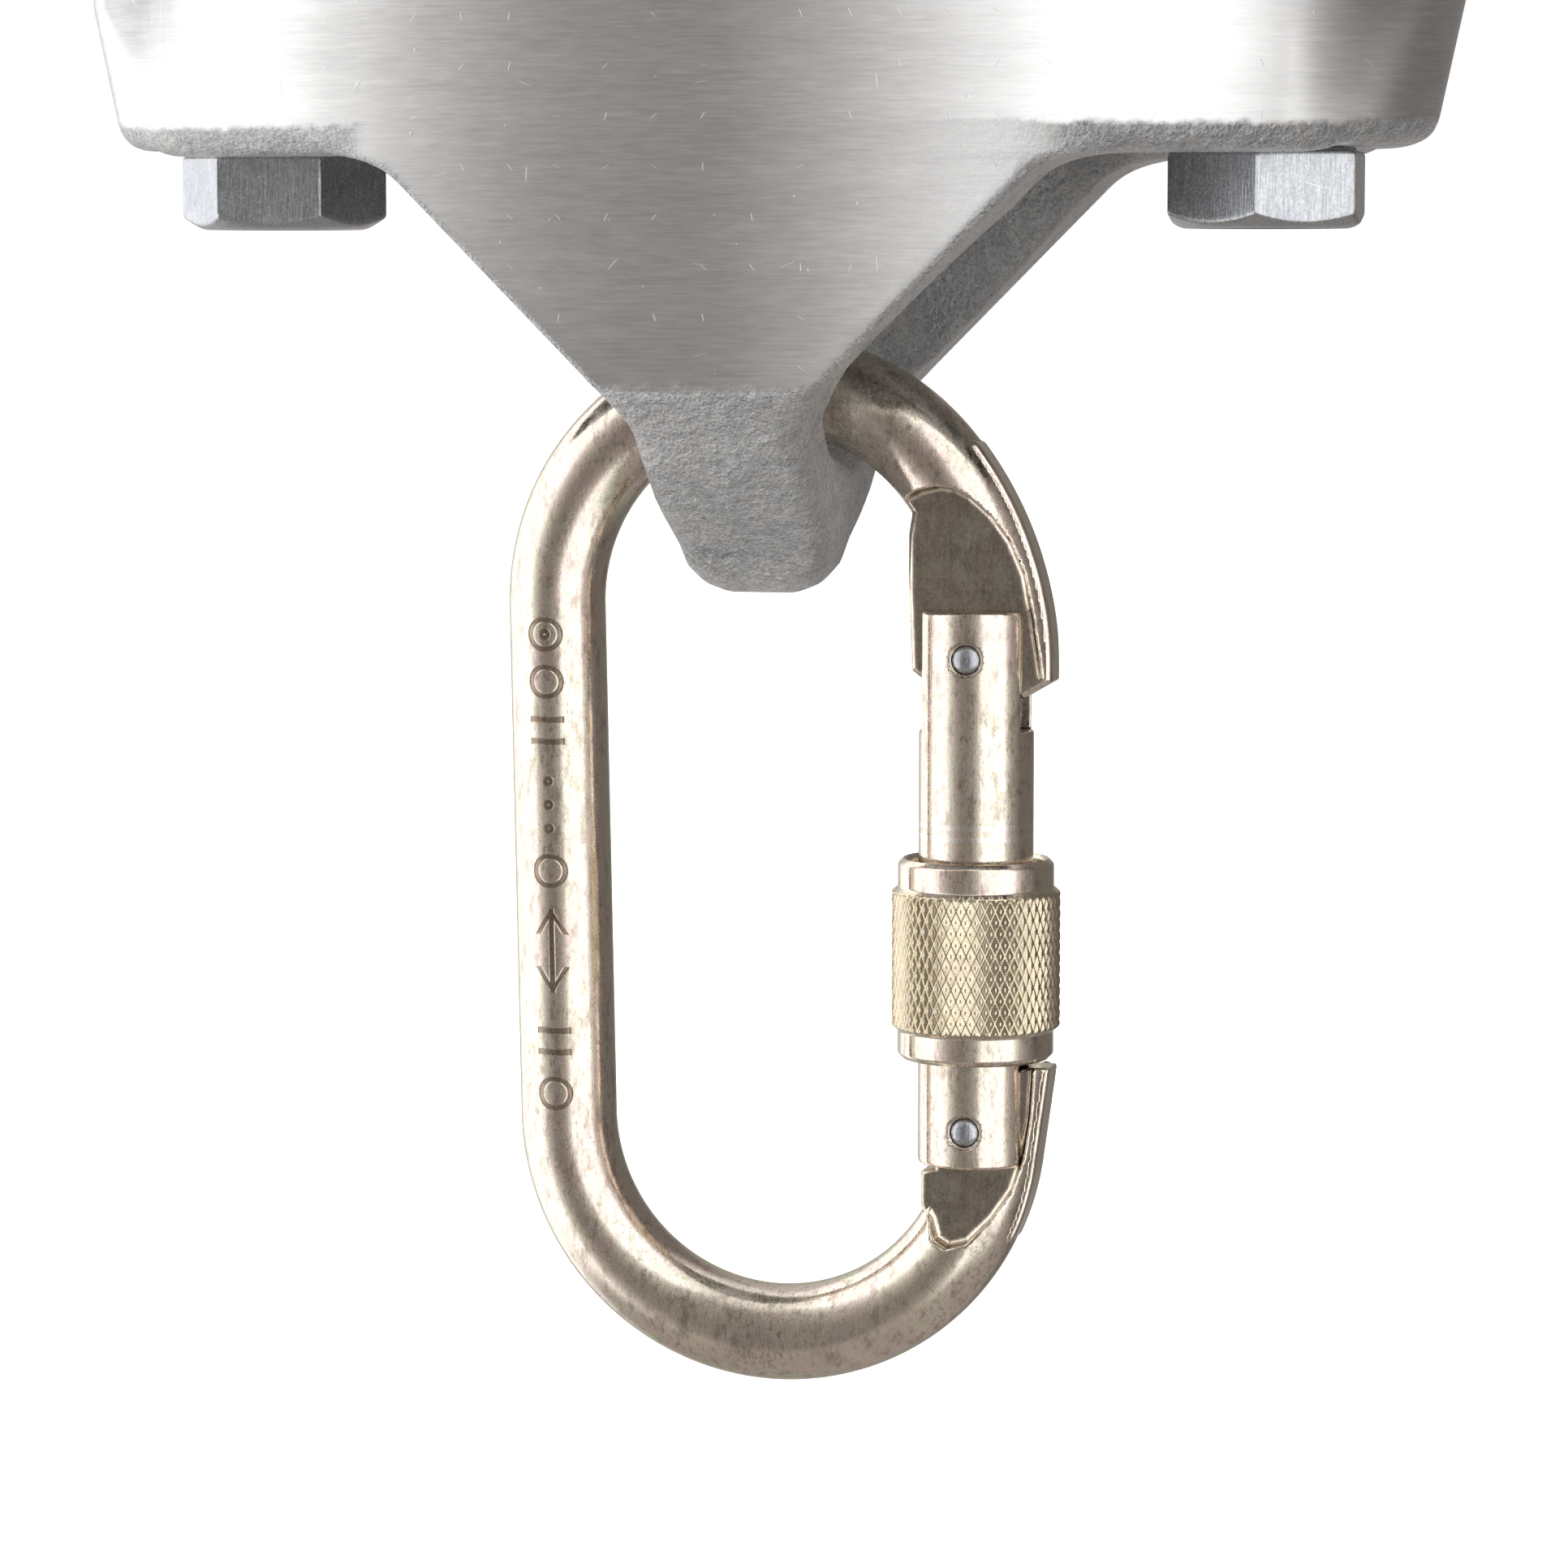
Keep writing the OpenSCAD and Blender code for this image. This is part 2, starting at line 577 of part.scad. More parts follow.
module locking_sleeve() color([0.74, 0.70, 0.58]) from_wing()
translate([gate_x, 0, sleeve_bottom_z]) rotate_extrude($fn = 128) {
    mouth = sleeve_mouth_d / 2;
    collar = sleeve_d / 2;
    knurl = knurl_d / 2;
    bore = gate_r + running_gap + lap;
    top = sleeve_len;
    // radius and height: up the outside, then down the bore
    polygon([
        [mouth + 0.3, 0], [collar - 0.5, 0], [collar, 0.5], [collar, 2.9],
        [knurl, 3.5], [knurl, top - 3.5],
        [collar, top - 2.9], [collar, top - 0.5], [collar - 0.5, top], [mouth + 0.3, top],
        [mouth, top - 0.3], [mouth, top - 3.2], [bore, top - 3.2],
        [bore, groove_z[1]], [groove_r, groove_z[1]], [groove_r, groove_z[0]], [bore, groove_z[0]],
        [bore, 3.4], [mouth, 3.4], [mouth, 0.3]]);
}

// Nylon ring in the sleeve's groove that keeps it from winding down by itself
module sleeve_friction_ring() color([0.92, 0.92, 0.88]) from_wing()
translate([gate_x, 0, sleeve_bottom_z + groove_z[0] + 0.1]) difference() {
    cylinder(r = groove_r - 0.06, h = 2, $fn = 96);
    translate([0, 0, -1]) cylinder(r = gate_r + running_gap, h = 4, $fn = 96);
}

anchor_body();
clamp_bolt_left();
clamp_bolt_right();
clamp_jaw_left();
clamp_jaw_right();
jaw_nut_left();
jaw_nut_right();
nut_insert_left();
nut_insert_right();
karabiner_body();
gate_tube();
hinge_pin();
latch_pin();
gate_spring();
spring_plunger();
locking_sleeve();
sleeve_friction_ring();
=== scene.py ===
"""An aluminium anchor casting with a karabiner through its eye and a bolted claw at each end.

Shapes are written in millimetres: x along the casting's wing, y across it, z up, with z = 0 on
the wing's underside. The scene is in metres with its origin in the bearing face, BEARING_Z
higher. The karabiner hangs in the XZ plane, with its spine towards -x and its gate towards +x.
"""
import math

import bmesh
import bpy
import numpy as np
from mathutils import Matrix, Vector


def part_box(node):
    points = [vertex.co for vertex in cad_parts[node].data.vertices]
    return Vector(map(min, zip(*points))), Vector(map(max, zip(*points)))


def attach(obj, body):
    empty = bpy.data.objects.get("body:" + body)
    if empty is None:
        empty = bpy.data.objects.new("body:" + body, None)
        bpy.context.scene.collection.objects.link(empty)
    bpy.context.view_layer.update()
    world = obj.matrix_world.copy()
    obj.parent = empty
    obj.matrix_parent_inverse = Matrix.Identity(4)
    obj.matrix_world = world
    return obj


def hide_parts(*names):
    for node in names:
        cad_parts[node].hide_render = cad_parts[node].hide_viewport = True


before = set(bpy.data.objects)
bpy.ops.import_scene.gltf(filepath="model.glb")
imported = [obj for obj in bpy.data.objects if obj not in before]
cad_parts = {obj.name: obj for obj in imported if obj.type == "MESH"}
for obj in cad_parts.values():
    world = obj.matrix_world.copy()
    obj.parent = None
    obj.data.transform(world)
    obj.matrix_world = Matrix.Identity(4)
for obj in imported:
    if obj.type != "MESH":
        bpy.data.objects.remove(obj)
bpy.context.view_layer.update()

BEARING_Z = 36.0  # bearing face above the wing's underside
BOLT_X = 52.7  # each bolt's distance from the middle
BOLT_BORE_R = 6.5
HEX_FLATS = 19.0  # across the flats of bolt heads and nuts
GATE_X = 22.75  # axis of the gate tube and its sleeve
HINGE_Z = -52.4
LATCH_Z = -101.6

# ------------------------------------------------------------------ mesh tools


def link(obj):
    bpy.context.scene.collection.objects.link(obj)
    return obj


def mesh_object(name, points, faces, normals=None, smooth=True, within=None):
    """Object from points in millimetres, clipped to the box of the CAD node `within`."""
    points = np.array(points, float)
    points[:, 2] -= BEARING_Z
    points = points / 1000.0
    if within:
        low, high = (np.array(v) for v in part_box(within))
        points = np.clip(points, low, high)
    mesh = bpy.data.meshes.new(name)
    points = np.asarray(points, np.float32)
    faces = np.asarray(faces, np.int32)
    sides = faces.shape[1]
    mesh.vertices.add(len(points))
    mesh.vertices.foreach_set("co", points.ravel())
    mesh.loops.add(len(faces) * sides)
    mesh.loops.foreach_set("vertex_index", faces.ravel())
    mesh.polygons.add(len(faces))
    starts = np.arange(0, len(faces) * sides, sides, dtype=np.int32)
    mesh.polygons.foreach_set("loop_start", starts)
    mesh.polygons.foreach_set("loop_total", np.full(len(faces), sides, np.int32))
    mesh.update(calc_edges=True)
    mesh.validate()
    mesh.polygons.foreach_set("use_smooth", np.full(len(mesh.polygons), smooth))
    if normals is not None:
        mesh.normals_split_custom_set_from_vertices([tuple(v) for v in normals])
    return link(bpy.data.objects.new(name, mesh))


def dress(obj, mat, body, node):
    obj.data.materials.append(mat)
    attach(obj, body)
    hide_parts(node)


def sharpen_edges(obj, angle):
    """Marks edges that turn by this many degrees or more as sharp."""
    work = bmesh.new()
    work.from_mesh(obj.data)
    for edge in work.edges:
        if len(edge.link_faces) == 2:
            edge.smooth = edge.calc_face_angle(0) < math.radians(angle)
    work.to_mesh(obj.data)
    work.free()


def surface(distance, low, high, cell):
    """Quad mesh of the zero level of distance(x, y, z): points, quads and normals.

    Each grid cell that the surface crosses gets one point, and each grid edge that it
    crosses gets one quad between the four cells round it.
    """
    low = np.array(low, float) - 2 * cell
    high = np.array(high, float) + 2 * cell
    count = np.ceil((high - low) / cell).astype(int) + 1
    grid_x, grid_y, grid_z = (low[i] + cell * np.arange(count[i]) for i in range(3))
    value = np.empty(count, np.float32)
    slab = 24  # grid layers worked out at once, to save memory
    for i in range(0, count[0], slab):
        value[i : i + slab] = distance(
            grid_x[i : i + slab, None, None], grid_y[None, :, None], grid_z[None, None, :]
        )
    inside = value < 0
    last = count - 1
    views = [
        inside[i : last[0] + i, j : last[1] + j, k : last[2] + k]
        for i in (0, 1)
        for j in (0, 1)
        for k in (0, 1)
    ]
    active = np.logical_or.reduce(views) & ~np.logical_and.reduce(views)
    cells = np.argwhere(active)
    cell_id = np.full(active.shape, -1, np.int32)
    cell_id[active] = np.arange(len(cells))

    # a cell's point starts at the mean of its edge crossings
    total = np.zeros((len(cells), 3))
    crossings = np.zeros(len(cells))
    corners = [np.array((i, j, k)) for k in (0, 1) for j in (0, 1) for i in (0, 1)]
    for start in corners:
        for axis in range(3):
            if start[axis]:
                continue
            end = start.copy()
            end[axis] = 1
            from_point = cells + start
            from_value = value[tuple(from_point.T)]
            to_value = value[tuple((cells + end).T)]
            cross = (from_value < 0) != (to_value < 0)
            part = np.where(cross, from_value / np.where(cross, from_value - to_value, 1), 0)
            hit = from_point + part[:, None] * (end - start)
            total[cross] += hit[cross]
            crossings[cross] += 1
    points = low + cell * total / crossings[:, None]

    quads = []
    for axis in range(3):
        others = [i for i in range(3) if i != axis]
        before = inside[tuple(slice(0, -1) if i == axis else slice(None) for i in range(3))]
        after = inside[tuple(slice(1, None) if i == axis else slice(None) for i in range(3))]
        edges = np.argwhere(before != after)
        keep = np.ones(len(edges), bool)
        for i in others:
            keep &= (edges[:, i] > 0) & (edges[:, i] < count[i] - 1)
        edges = edges[keep]
        forward = before[tuple(edges.T)]
        step_a, step_b = np.zeros(3, int), np.zeros(3, int)
        step_a[others[0]] = 1
        step_b[others[1]] = 1
        around = (edges - step_a - step_b, edges - step_b, edges, edges - step_a)
        quad = np.stack([cell_id[tuple(c.T)] for c in around], 1)
        if axis == 1:
            forward = ~forward
        quad[~forward] = quad[~forward][:, ::-1]
        quads.append(quad)

    def gradient():
        x, y, z = points.T
        e = 0.02
        slopes = [
            distance(x + e, y, z) - distance(x - e, y, z),
            distance(x, y + e, z) - distance(x, y - e, z),
            distance(x, y, z + e) - distance(x, y, z - e),
        ]
        return np.stack(slopes, 1) / (2 * e)

    # two Newton steps pull the points on to the surface
    for _ in range(2):
        slope = gradient()
        steepness = np.maximum((slope * slope).sum(1), 0.05)
        move = np.clip(distance(*points.T) / steepness, -0.6 * cell, 0.6 * cell)
        points = points - slope * move[:, None]
    slope = gradient()
    normals = slope / np.maximum(np.linalg.norm(slope, axis=1), 1e-6)[:, None]
    return points, np.vstack(quads), normals


# Distances are negative inside a shape. The third argument of union, overlap and cut is the
# width in millimetres over which the two surfaces run into each other.


def union(a, b, width):
    share = np.clip(0.5 + 0.5 * (b - a) / width, 0, 1)
    return b + (a - b) * share - width * share * (1 - share)


def overlap(a, b, width):
    return -union(-a, -b, width)


def cut(a, b, width):
    """Shape a without shape b."""
    return overlap(a, -b, width)


def ease(start, end, value):
    """0 up to start, 1 from end, smooth between."""
    t = np.clip((value - start) / (end - start), 0, 1)
    return t * t * (3 - 2 * t)


def polygon(points, x, y):
    """Distance to a closed polygon."""
    points = np.asarray(points, float)
    x, y = np.broadcast_arrays(x, y)
    nearest = np.full(x.shape, 1e9)
    inside = np.zeros(x.shape, bool)
    for i in range(len(points)):
        start_x, start_y = points[i - 1]
        end_x, end_y = points[i]
        run, rise = end_x - start_x, end_y - start_y
        from_x, from_y = x - start_x, y - start_y
        t = np.clip((from_x * run + from_y * rise) / (run * run + rise * rise), 0, 1)
        nearest = np.minimum(nearest, (from_x - run * t) ** 2 + (from_y - rise * t) ** 2)
        spans = (start_y > y) != (end_y > y)
        hit_x = start_x + (y - start_y) * run / (rise if abs(rise) > 1e-12 else 1e-12)
        inside ^= spans & (x < hit_x)
    return np.where(inside, -1, 1) * np.sqrt(nearest)


def rounded_rect(x, y, x_low, x_high, half_y, radius):
    """Distance to a rectangle with round corners, centred on y = 0."""
    over_x = np.abs(x - (x_low + x_high) / 2) - (x_high - x_low) / 2 + radius
    over_y = np.abs(y) - half_y + radius
    outside = np.hypot(np.maximum(over_x, 0), np.maximum(over_y, 0))
    return np.minimum(np.maximum(over_x, over_y), 0) + outside - radius


def hexagon(x, y, flats):
    """Distance to a hexagon with flats facing +y and -y."""
    d = np.abs(y) - flats / 2
    for angle in (30, 150):
        cos, sin = math.cos(math.radians(angle)), math.sin(math.radians(angle))
        d = np.maximum(d, np.abs(x * cos + y * sin) - flats / 2)
    return d


def ring_quads(lower, upper):
    """Quads between two rings of vertex numbers."""
    return np.stack([lower, np.roll(lower, -1), np.roll(upper, -1), upper], 1)


def lathe(profile, count, center_x, relief=None, closed=True):
    """Turns an (r, z) profile about the upright axis at center_x. relief may change r."""
    profile = np.asarray(profile, float)
    angle = np.linspace(0, 2 * math.pi, count, endpoint=False)[None, :]
    r = np.repeat(profile[:, 0][:, None], count, 1)
    z = np.repeat(profile[:, 1][:, None], count, 1)
    if relief is not None:
        r = relief(angle, r, z)
    points = np.stack([center_x + r * np.cos(angle), r * np.sin(angle), z], 2).reshape(-1, 3)
    rows = len(profile)
    around = np.arange(count)
    faces = [
        ring_quads(i * count + around, (i + 1) % rows * count + around)
        for i in range(rows if closed else rows - 1)
    ]
    return points, np.vstack(faces)


def round_corners(profile, radius, steps):
    """Rounds every corner of a closed (r, z) profile."""
    profile = np.asarray(profile, float)
    out = []
    for i in range(len(profile)):
        before, corner, after = profile[i - 1], profile[i], profile[(i + 1) % len(profile)]
        length_in = np.linalg.norm(before - corner)
        length_out = np.linalg.norm(after - corner)
        reach = min(radius, 0.45 * length_in, 0.45 * length_out)
        start = corner + (before - corner) / length_in * reach
        end = corner + (after - corner) / length_out * reach
        for j in range(steps + 1):
            u = j / steps
            out.append((1 - u) ** 2 * start + 2 * u * (1 - u) * corner + u * u * end)
    return np.array(out)


# ------------------------------------------------------------------ shader graphs


class Signal:
    """A node's output. Arithmetic on it adds Math nodes to its graph."""

    def __init__(self, graph, socket):
        self.graph = graph
        self.socket = socket

    def math(self, operation, *others):
        inputs = enumerate((self, *others))
        return self.graph.signal("ShaderNodeMath", inputs, operation=operation)

    def __add__(self, other):
        return self.math("ADD", other)

    def __sub__(self, other):
        return self.math("SUBTRACT", other)

    def __mul__(self, other):
        return self.math("MULTIPLY", other)

    def __truediv__(self, other):
        return self.math("DIVIDE", other)

    def __abs__(self):
        return self.math("ABSOLUTE")

    def maximum(self, other):
        return self.math("MAXIMUM", other)

    def vector(self, operation, inputs, output="Vector"):
        inputs = {0: self, **inputs}
        return self.graph.signal("ShaderNodeVectorMath", inputs, output, operation=operation)

    def scaled(self, factor):
        return self.vector("SCALE", {"Scale": factor})

    def stretched(self, factors):
        return self.vector("MULTIPLY", {1: factors})

    def shifted(self, offset):
        return self.vector("ADD", {1: offset})

    def length(self):
        return self.vector("LENGTH", {}, output="Value")

    def radius_about(self, x, y=0.0):
        """Distance from the upright axis through (x, y)."""
        return self.stretched((1, 1, 0)).vector("SUBTRACT", {1: (x, y, 0)}).length()

    def parts(self, kind="ShaderNodeSeparateXYZ"):
        return [Signal(self.graph, s) for s in self.graph.node(kind, {0: self}).outputs]

    def fade(self, zero, one):
        """Smooth run from 0 at `zero` to 1 at `one`, which may be the lower of the two."""
        falls = zero > one
        inputs = {
            "Value": self,
            "From Min": one if falls else zero,
            "From Max": zero if falls else one,
            "To Min": 1.0 if falls else 0.0,
            "To Max": 0.0 if falls else 1.0,
        }
        kind = "ShaderNodeMapRange"
        return self.graph.signal(kind, inputs, "Result", interpolation_type="SMOOTHSTEP")

    def band(self, rise, fall):
        """1 inside a band. rise and fall are the (start, end) of its two edges."""
        return self.fade(zero=rise[0], one=rise[1]) * self.fade(zero=fall[1], one=fall[0])

    def remap(self, low, high, to=(0, 1)):
        """Straight run from to[0] at low to to[1] at high."""
        inputs = {"Value": self, "From Min": low, "From Max": high}
        inputs.update({"To Min": to[0], "To Max": to[1]})
        return self.graph.signal("ShaderNodeMapRange", inputs, "Result")

    def noise(self, scale=1.0, detail=3, rough=0.6, distortion=0.0):
        inputs = {"Vector": self, "Scale": scale, "Detail": detail, "Roughness": rough}
        inputs["Distortion"] = distortion
        return self.graph.signal("ShaderNodeTexNoise", inputs)

    def voronoi(self, scale=1.0, feature="F1"):
        inputs = {"Vector": self, "Scale": scale}
        return self.graph.signal("ShaderNodeTexVoronoi", inputs, "Distance", feature=feature)

    def bump(self, strength, depth, over=None):
        """Normal from this height. depth is in metres, over is a normal to add it to."""
        inputs = {"Strength": strength, "Distance": depth, "Height": self}
        if over is not None:
            inputs["Normal"] = over
        return self.graph.signal("ShaderNodeBump", inputs)

    def color_ramp(self, stops):
        """Colour from (position, colour) stops, the first at 0 and the last at 1."""
        node = self.graph.node("ShaderNodeValToRGB", {0: self})
        elements = node.color_ramp.elements
        elements[0].color = (*stops[0][1], 1)
        elements[1].color = (*stops[-1][1], 1)
        for position, color in stops[1:-1]:
            elements.new(position).color = (*color, 1)
        return Signal(self.graph, node.outputs[0])


class Graph:
    """A node tree. Inputs are given as a map from socket names or numbers to values."""

    def __init__(self, owner):
        owner.use_nodes = True
        self.tree = owner.node_tree
        self.tree.nodes.clear()

    def node(self, kind, inputs=(), **settings):
        node = self.tree.nodes.new(kind)
        for name, value in settings.items():
            setattr(node, name, value)
        for key, value in dict(inputs).items():
            socket = node.inputs[key]
            if isinstance(value, Signal):
                self.tree.links.new(value.socket, socket)
            elif isinstance(value, tuple) and socket.type == "RGBA":
                socket.default_value = (*value, 1.0)
            else:
                socket.default_value = value
        return node

    def signal(self, kind, inputs=(), output=0, **settings):
        return Signal(self, self.node(kind, inputs, **settings).outputs[output])

    def combine(self, x, y, z):
        return self.signal("ShaderNodeCombineXYZ", {0: x, 1: y, 2: z})

    def mix(self, factor, low, high):
        """Colour mix."""
        inputs = {0: factor, 6: low, 7: high}
        return self.signal("ShaderNodeMix", inputs, 2, data_type="RGBA", clamp_factor=True)

    def mix_value(self, factor, low, high):
        inputs = {0: factor, 2: low, 3: high}
        return self.signal("ShaderNodeMix", inputs, data_type="FLOAT", clamp_factor=True)

    def mix_shader(self, factor, low, high):
        return self.signal("ShaderNodeMixShader", {0: factor, 1: low, 2: high})

    def principled(self, color, rough, metallic=1.0, **sockets):
        inputs = {"Base Color": color, "Roughness": rough, "Metallic": metallic}
        inputs.update({name.replace("_", " "): value for name, value in sockets.items()})
        return self.signal("ShaderNodeBsdfPrincipled", inputs)

    def point_and_normal(self):
        """Object-space point in millimetres from the wing's underside, and the normal."""
        node = self.node("ShaderNodeTexCoord")
        point = Signal(self, node.outputs["Object"]).scaled(1000.0).shifted((0, 0, BEARING_Z))
        return point, Signal(self, node.outputs["Normal"])

    def scratches(self, point, cell, length, width, seed):
        """Mask of short, faintly bowed scratches in the XZ plane, in half of its square cells."""
        x, _, z = point.parts()
        cell_x = (x + seed * 13.7) / cell
        cell_z = (z + seed * 7.3) / cell
        floor_x, floor_z = cell_x.math("FLOOR"), cell_z.math("FLOOR")
        key = {"Vector": self.combine(floor_x, floor_z, seed)}
        draw = self.signal("ShaderNodeTexWhiteNoise", key, "Color", noise_dimensions="3D")
        turn, chance = draw.parts("ShaderNodeSeparateColor")[:2]
        angle = turn * 3.14159
        local_x = (cell_x - floor_x - 0.5) * cell
        local_z = (cell_z - floor_z - 0.5) * cell
        cos, sin = angle.math("COSINE"), angle.math("SINE")
        along = local_x * cos + local_z * sin
        across = local_z * cos - local_x * sin
        across = across + along * along * 0.04  # the bow
        in_length = abs(along).fade(zero=length * 0.5, one=length * 0.2)
        in_width = abs(across).fade(zero=width, one=width * 0.3)
        return in_length * in_width * chance.math("GREATER_THAN", 0.5)


def new_material(name):
    mat = bpy.data.materials.new(name)
    return mat, Graph(mat)


# ------------------------------------------------------------------ materials


def cast_aluminium():
    """As-cast skin, belt-brushed upright faces and a machined bearing face."""
    mat, graph = new_material("cast_and_brushed_aluminium")
    point, normal = graph.point_and_normal()
    _, y, z = point.parts()
    _, normal_y, normal_z = normal.parts()

    # where the belt reached: upright faces of wing and pad, and the cheeks' outer faces
    wobble = point.noise(scale=0.55)
    upright = abs(normal_z).fade(zero=0.42, one=0.22)
    wing = (z + (wobble - 0.5) * 1.6).fade(zero=1.6, one=2.6)
    outer = abs(y).fade(zero=24.2, one=25.0)
    above_lug = (z + (wobble - 0.5) * 5.0).fade(zero=-26.4, one=-23.2)
    cheek = outer * above_lug * abs(normal_y).fade(zero=0.90, one=0.985)
    brushed = (wing * upright).maximum(cheek) * z.fade(zero=30.5, one=29.8)
    brushed = brushed.maximum(z.fade(zero=29.8, one=30.5) * upright)

    # brushed: streaks run level round the part, from fine to broad
    fine_streak = point.stretched((0.16, 0.16, 6.0)).noise(rough=0.65)
    mid_streak = point.stretched((0.32, 0.32, 2.4)).noise(detail=4, rough=0.65)
    broad_streak = point.stretched((0.030, 0.030, 0.33)).noise(detail=2, rough=0.5)
    streak = fine_streak * 0.55 + mid_streak * 0.45
    long_marks = graph.scratches(point, cell=9.0, length=2.0, width=0.07, seed=1.0)
    short_marks = graph.scratches(point, cell=5.0, length=1.1, width=0.06, seed=2.0)
    dots = point.scaled(0.30).voronoi().fade(zero=0.055, one=0.02)
    marks = long_marks.maximum(short_marks).maximum(dots)
    color = graph.mix(streak.remap(0.3, 0.7), (0.70, 0.70, 0.70), (0.95, 0.945, 0.935))
    color = graph.mix(broad_streak.remap(0.35, 0.65), color, color.scaled(0.93))
    color = graph.mix(marks * 0.5, color, (1.0, 1.0, 1.0))
    brushed_shader = graph.principled(
        color,
        rough=streak.remap(0.3, 0.7, to=(0.38, 0.46)) + marks * 0.1,
        Normal=(streak * 1.0 + marks * 0.7).bump(strength=0.30, depth=0.00006),
        Anisotropic=0.74,
        Tangent=graph.combine(0.0, 0.0, 1.0),
    )

    # cast: fine rounded grain with pits, tonal patches and faint brown stains
    grain = point.noise(scale=2.8, detail=4, rough=0.62)
    lumps = point.voronoi(scale=1.9, feature="SMOOTH_F1")
    patches = point.noise(scale=0.35, rough=0.55)
    grit = point.noise(scale=5.2, detail=2, rough=0.5)
    pits = point.scaled(0.19).voronoi().fade(zero=0.075, one=0.03)
    height = grain * 0.9 + lumps * -0.55 + grit * 0.25 - pits * 0.8
    skin = height.bump(strength=0.8, depth=0.00040)
    big_lumps = point.shifted((17.0, 4.0, 8.0)).voronoi(scale=0.95, feature="SMOOTH_F1")
    skin = (grain - big_lumps * 1.3).bump(strength=0.9, depth=0.00050, over=skin)
    color = graph.mix(patches.remap(0.35, 0.65), (0.70, 0.715, 0.73), (0.84, 0.84, 0.84))
    mottle = point.noise(scale=2.4, rough=0.65).remap(0.38, 0.62)
    color = graph.mix(mottle, color.scaled(0.70), color)
    # painted shade: the pits are painted near black for the shade inside them
    color = graph.mix(pits * 0.8, color, (0.25, 0.24, 0.23))
    stain = point.noise(scale=0.16).fade(zero=0.56, one=0.70) * 0.5
    color = graph.mix(stain, color, (0.70, 0.66, 0.62))
    cast_shader = graph.principled(
        color, rough=grain.remap(0.35, 0.65, to=(0.42, 0.24)), Normal=skin
    )

    # bearing face: fly-cut arcs about a far centre, 7.5 radians of wave to the millimetre
    arcs = (point.radius_about(x=-15.0, y=-95.0) * 7.5).math("SINE")
    bearing = normal_z.fade(zero=0.9, one=0.98) * z.fade(zero=35.5, one=35.9)
    bearing_shader = graph.principled(
        graph.mix(arcs.remap(-1, 1), (0.82, 0.825, 0.83), (0.93, 0.93, 0.93)),
        rough=0.24,
        Normal=(arcs * 0.5 + mid_streak * 0.6).bump(strength=0.35, depth=0.00006),
    )
    shader = graph.mix_shader(brushed, cast_shader, brushed_shader)
    shader = graph.mix_shader(bearing, shader, bearing_shader)
    graph.node("ShaderNodeOutputMaterial", {0: shader})
    return mat


# Plated steel is a sharp shader with dull patches:
# drawn: stretch of the drawing marks      tones: dark and light of the plain finishes
# dull: colour mixed into the patches      rough: roughness, sharp and dull
# patch: mottle at which patches start and are full
# least: share of dull shader everywhere   dent: depth of the unevenness, in metres
ZINC = {
    "yellow": dict(
        drawn=(3.2, 3.2, 0.22), dull=(0.52, 0.46, 0.38), rough=(0.08, 0.28),
        patch=(0.50, 0.72), least=0.10, dent=0.00008,
    ),
    "clear": dict(
        drawn=(3.2, 3.2, 0.22), tones=((0.54, 0.565, 0.60), (0.66, 0.67, 0.69)),
        dull=(0.58, 0.61, 0.66), rough=(0.20, 0.42), patch=(0.50, 0.70), least=0.16, dent=0.00008,
    ),
    "forged": dict(
        drawn=(0.22, 3.2, 3.2), tones=((0.56, 0.575, 0.60), (0.68, 0.685, 0.69)),
        dull=(0.50, 0.51, 0.53), rough=(0.26, 0.50), patch=(0.48, 0.72), least=0.16, dent=0.00025,
    ),
}

# film thickness (0 to 1) and its colour
YELLOW_FILM = [
    (0.0, (0.88, 0.82, 0.71)),
    (0.28, (0.88, 0.80, 0.66)),
    (0.45, (0.86, 0.73, 0.66)),
    (0.60, (0.84, 0.71, 0.62)),
    (0.78, (0.78, 0.77, 0.62)),
    (1.0, (0.76, 0.76, 0.60)),
]
RUBBED = (0.95, 0.93, 0.90)  # bare metal in scratches and rub marks


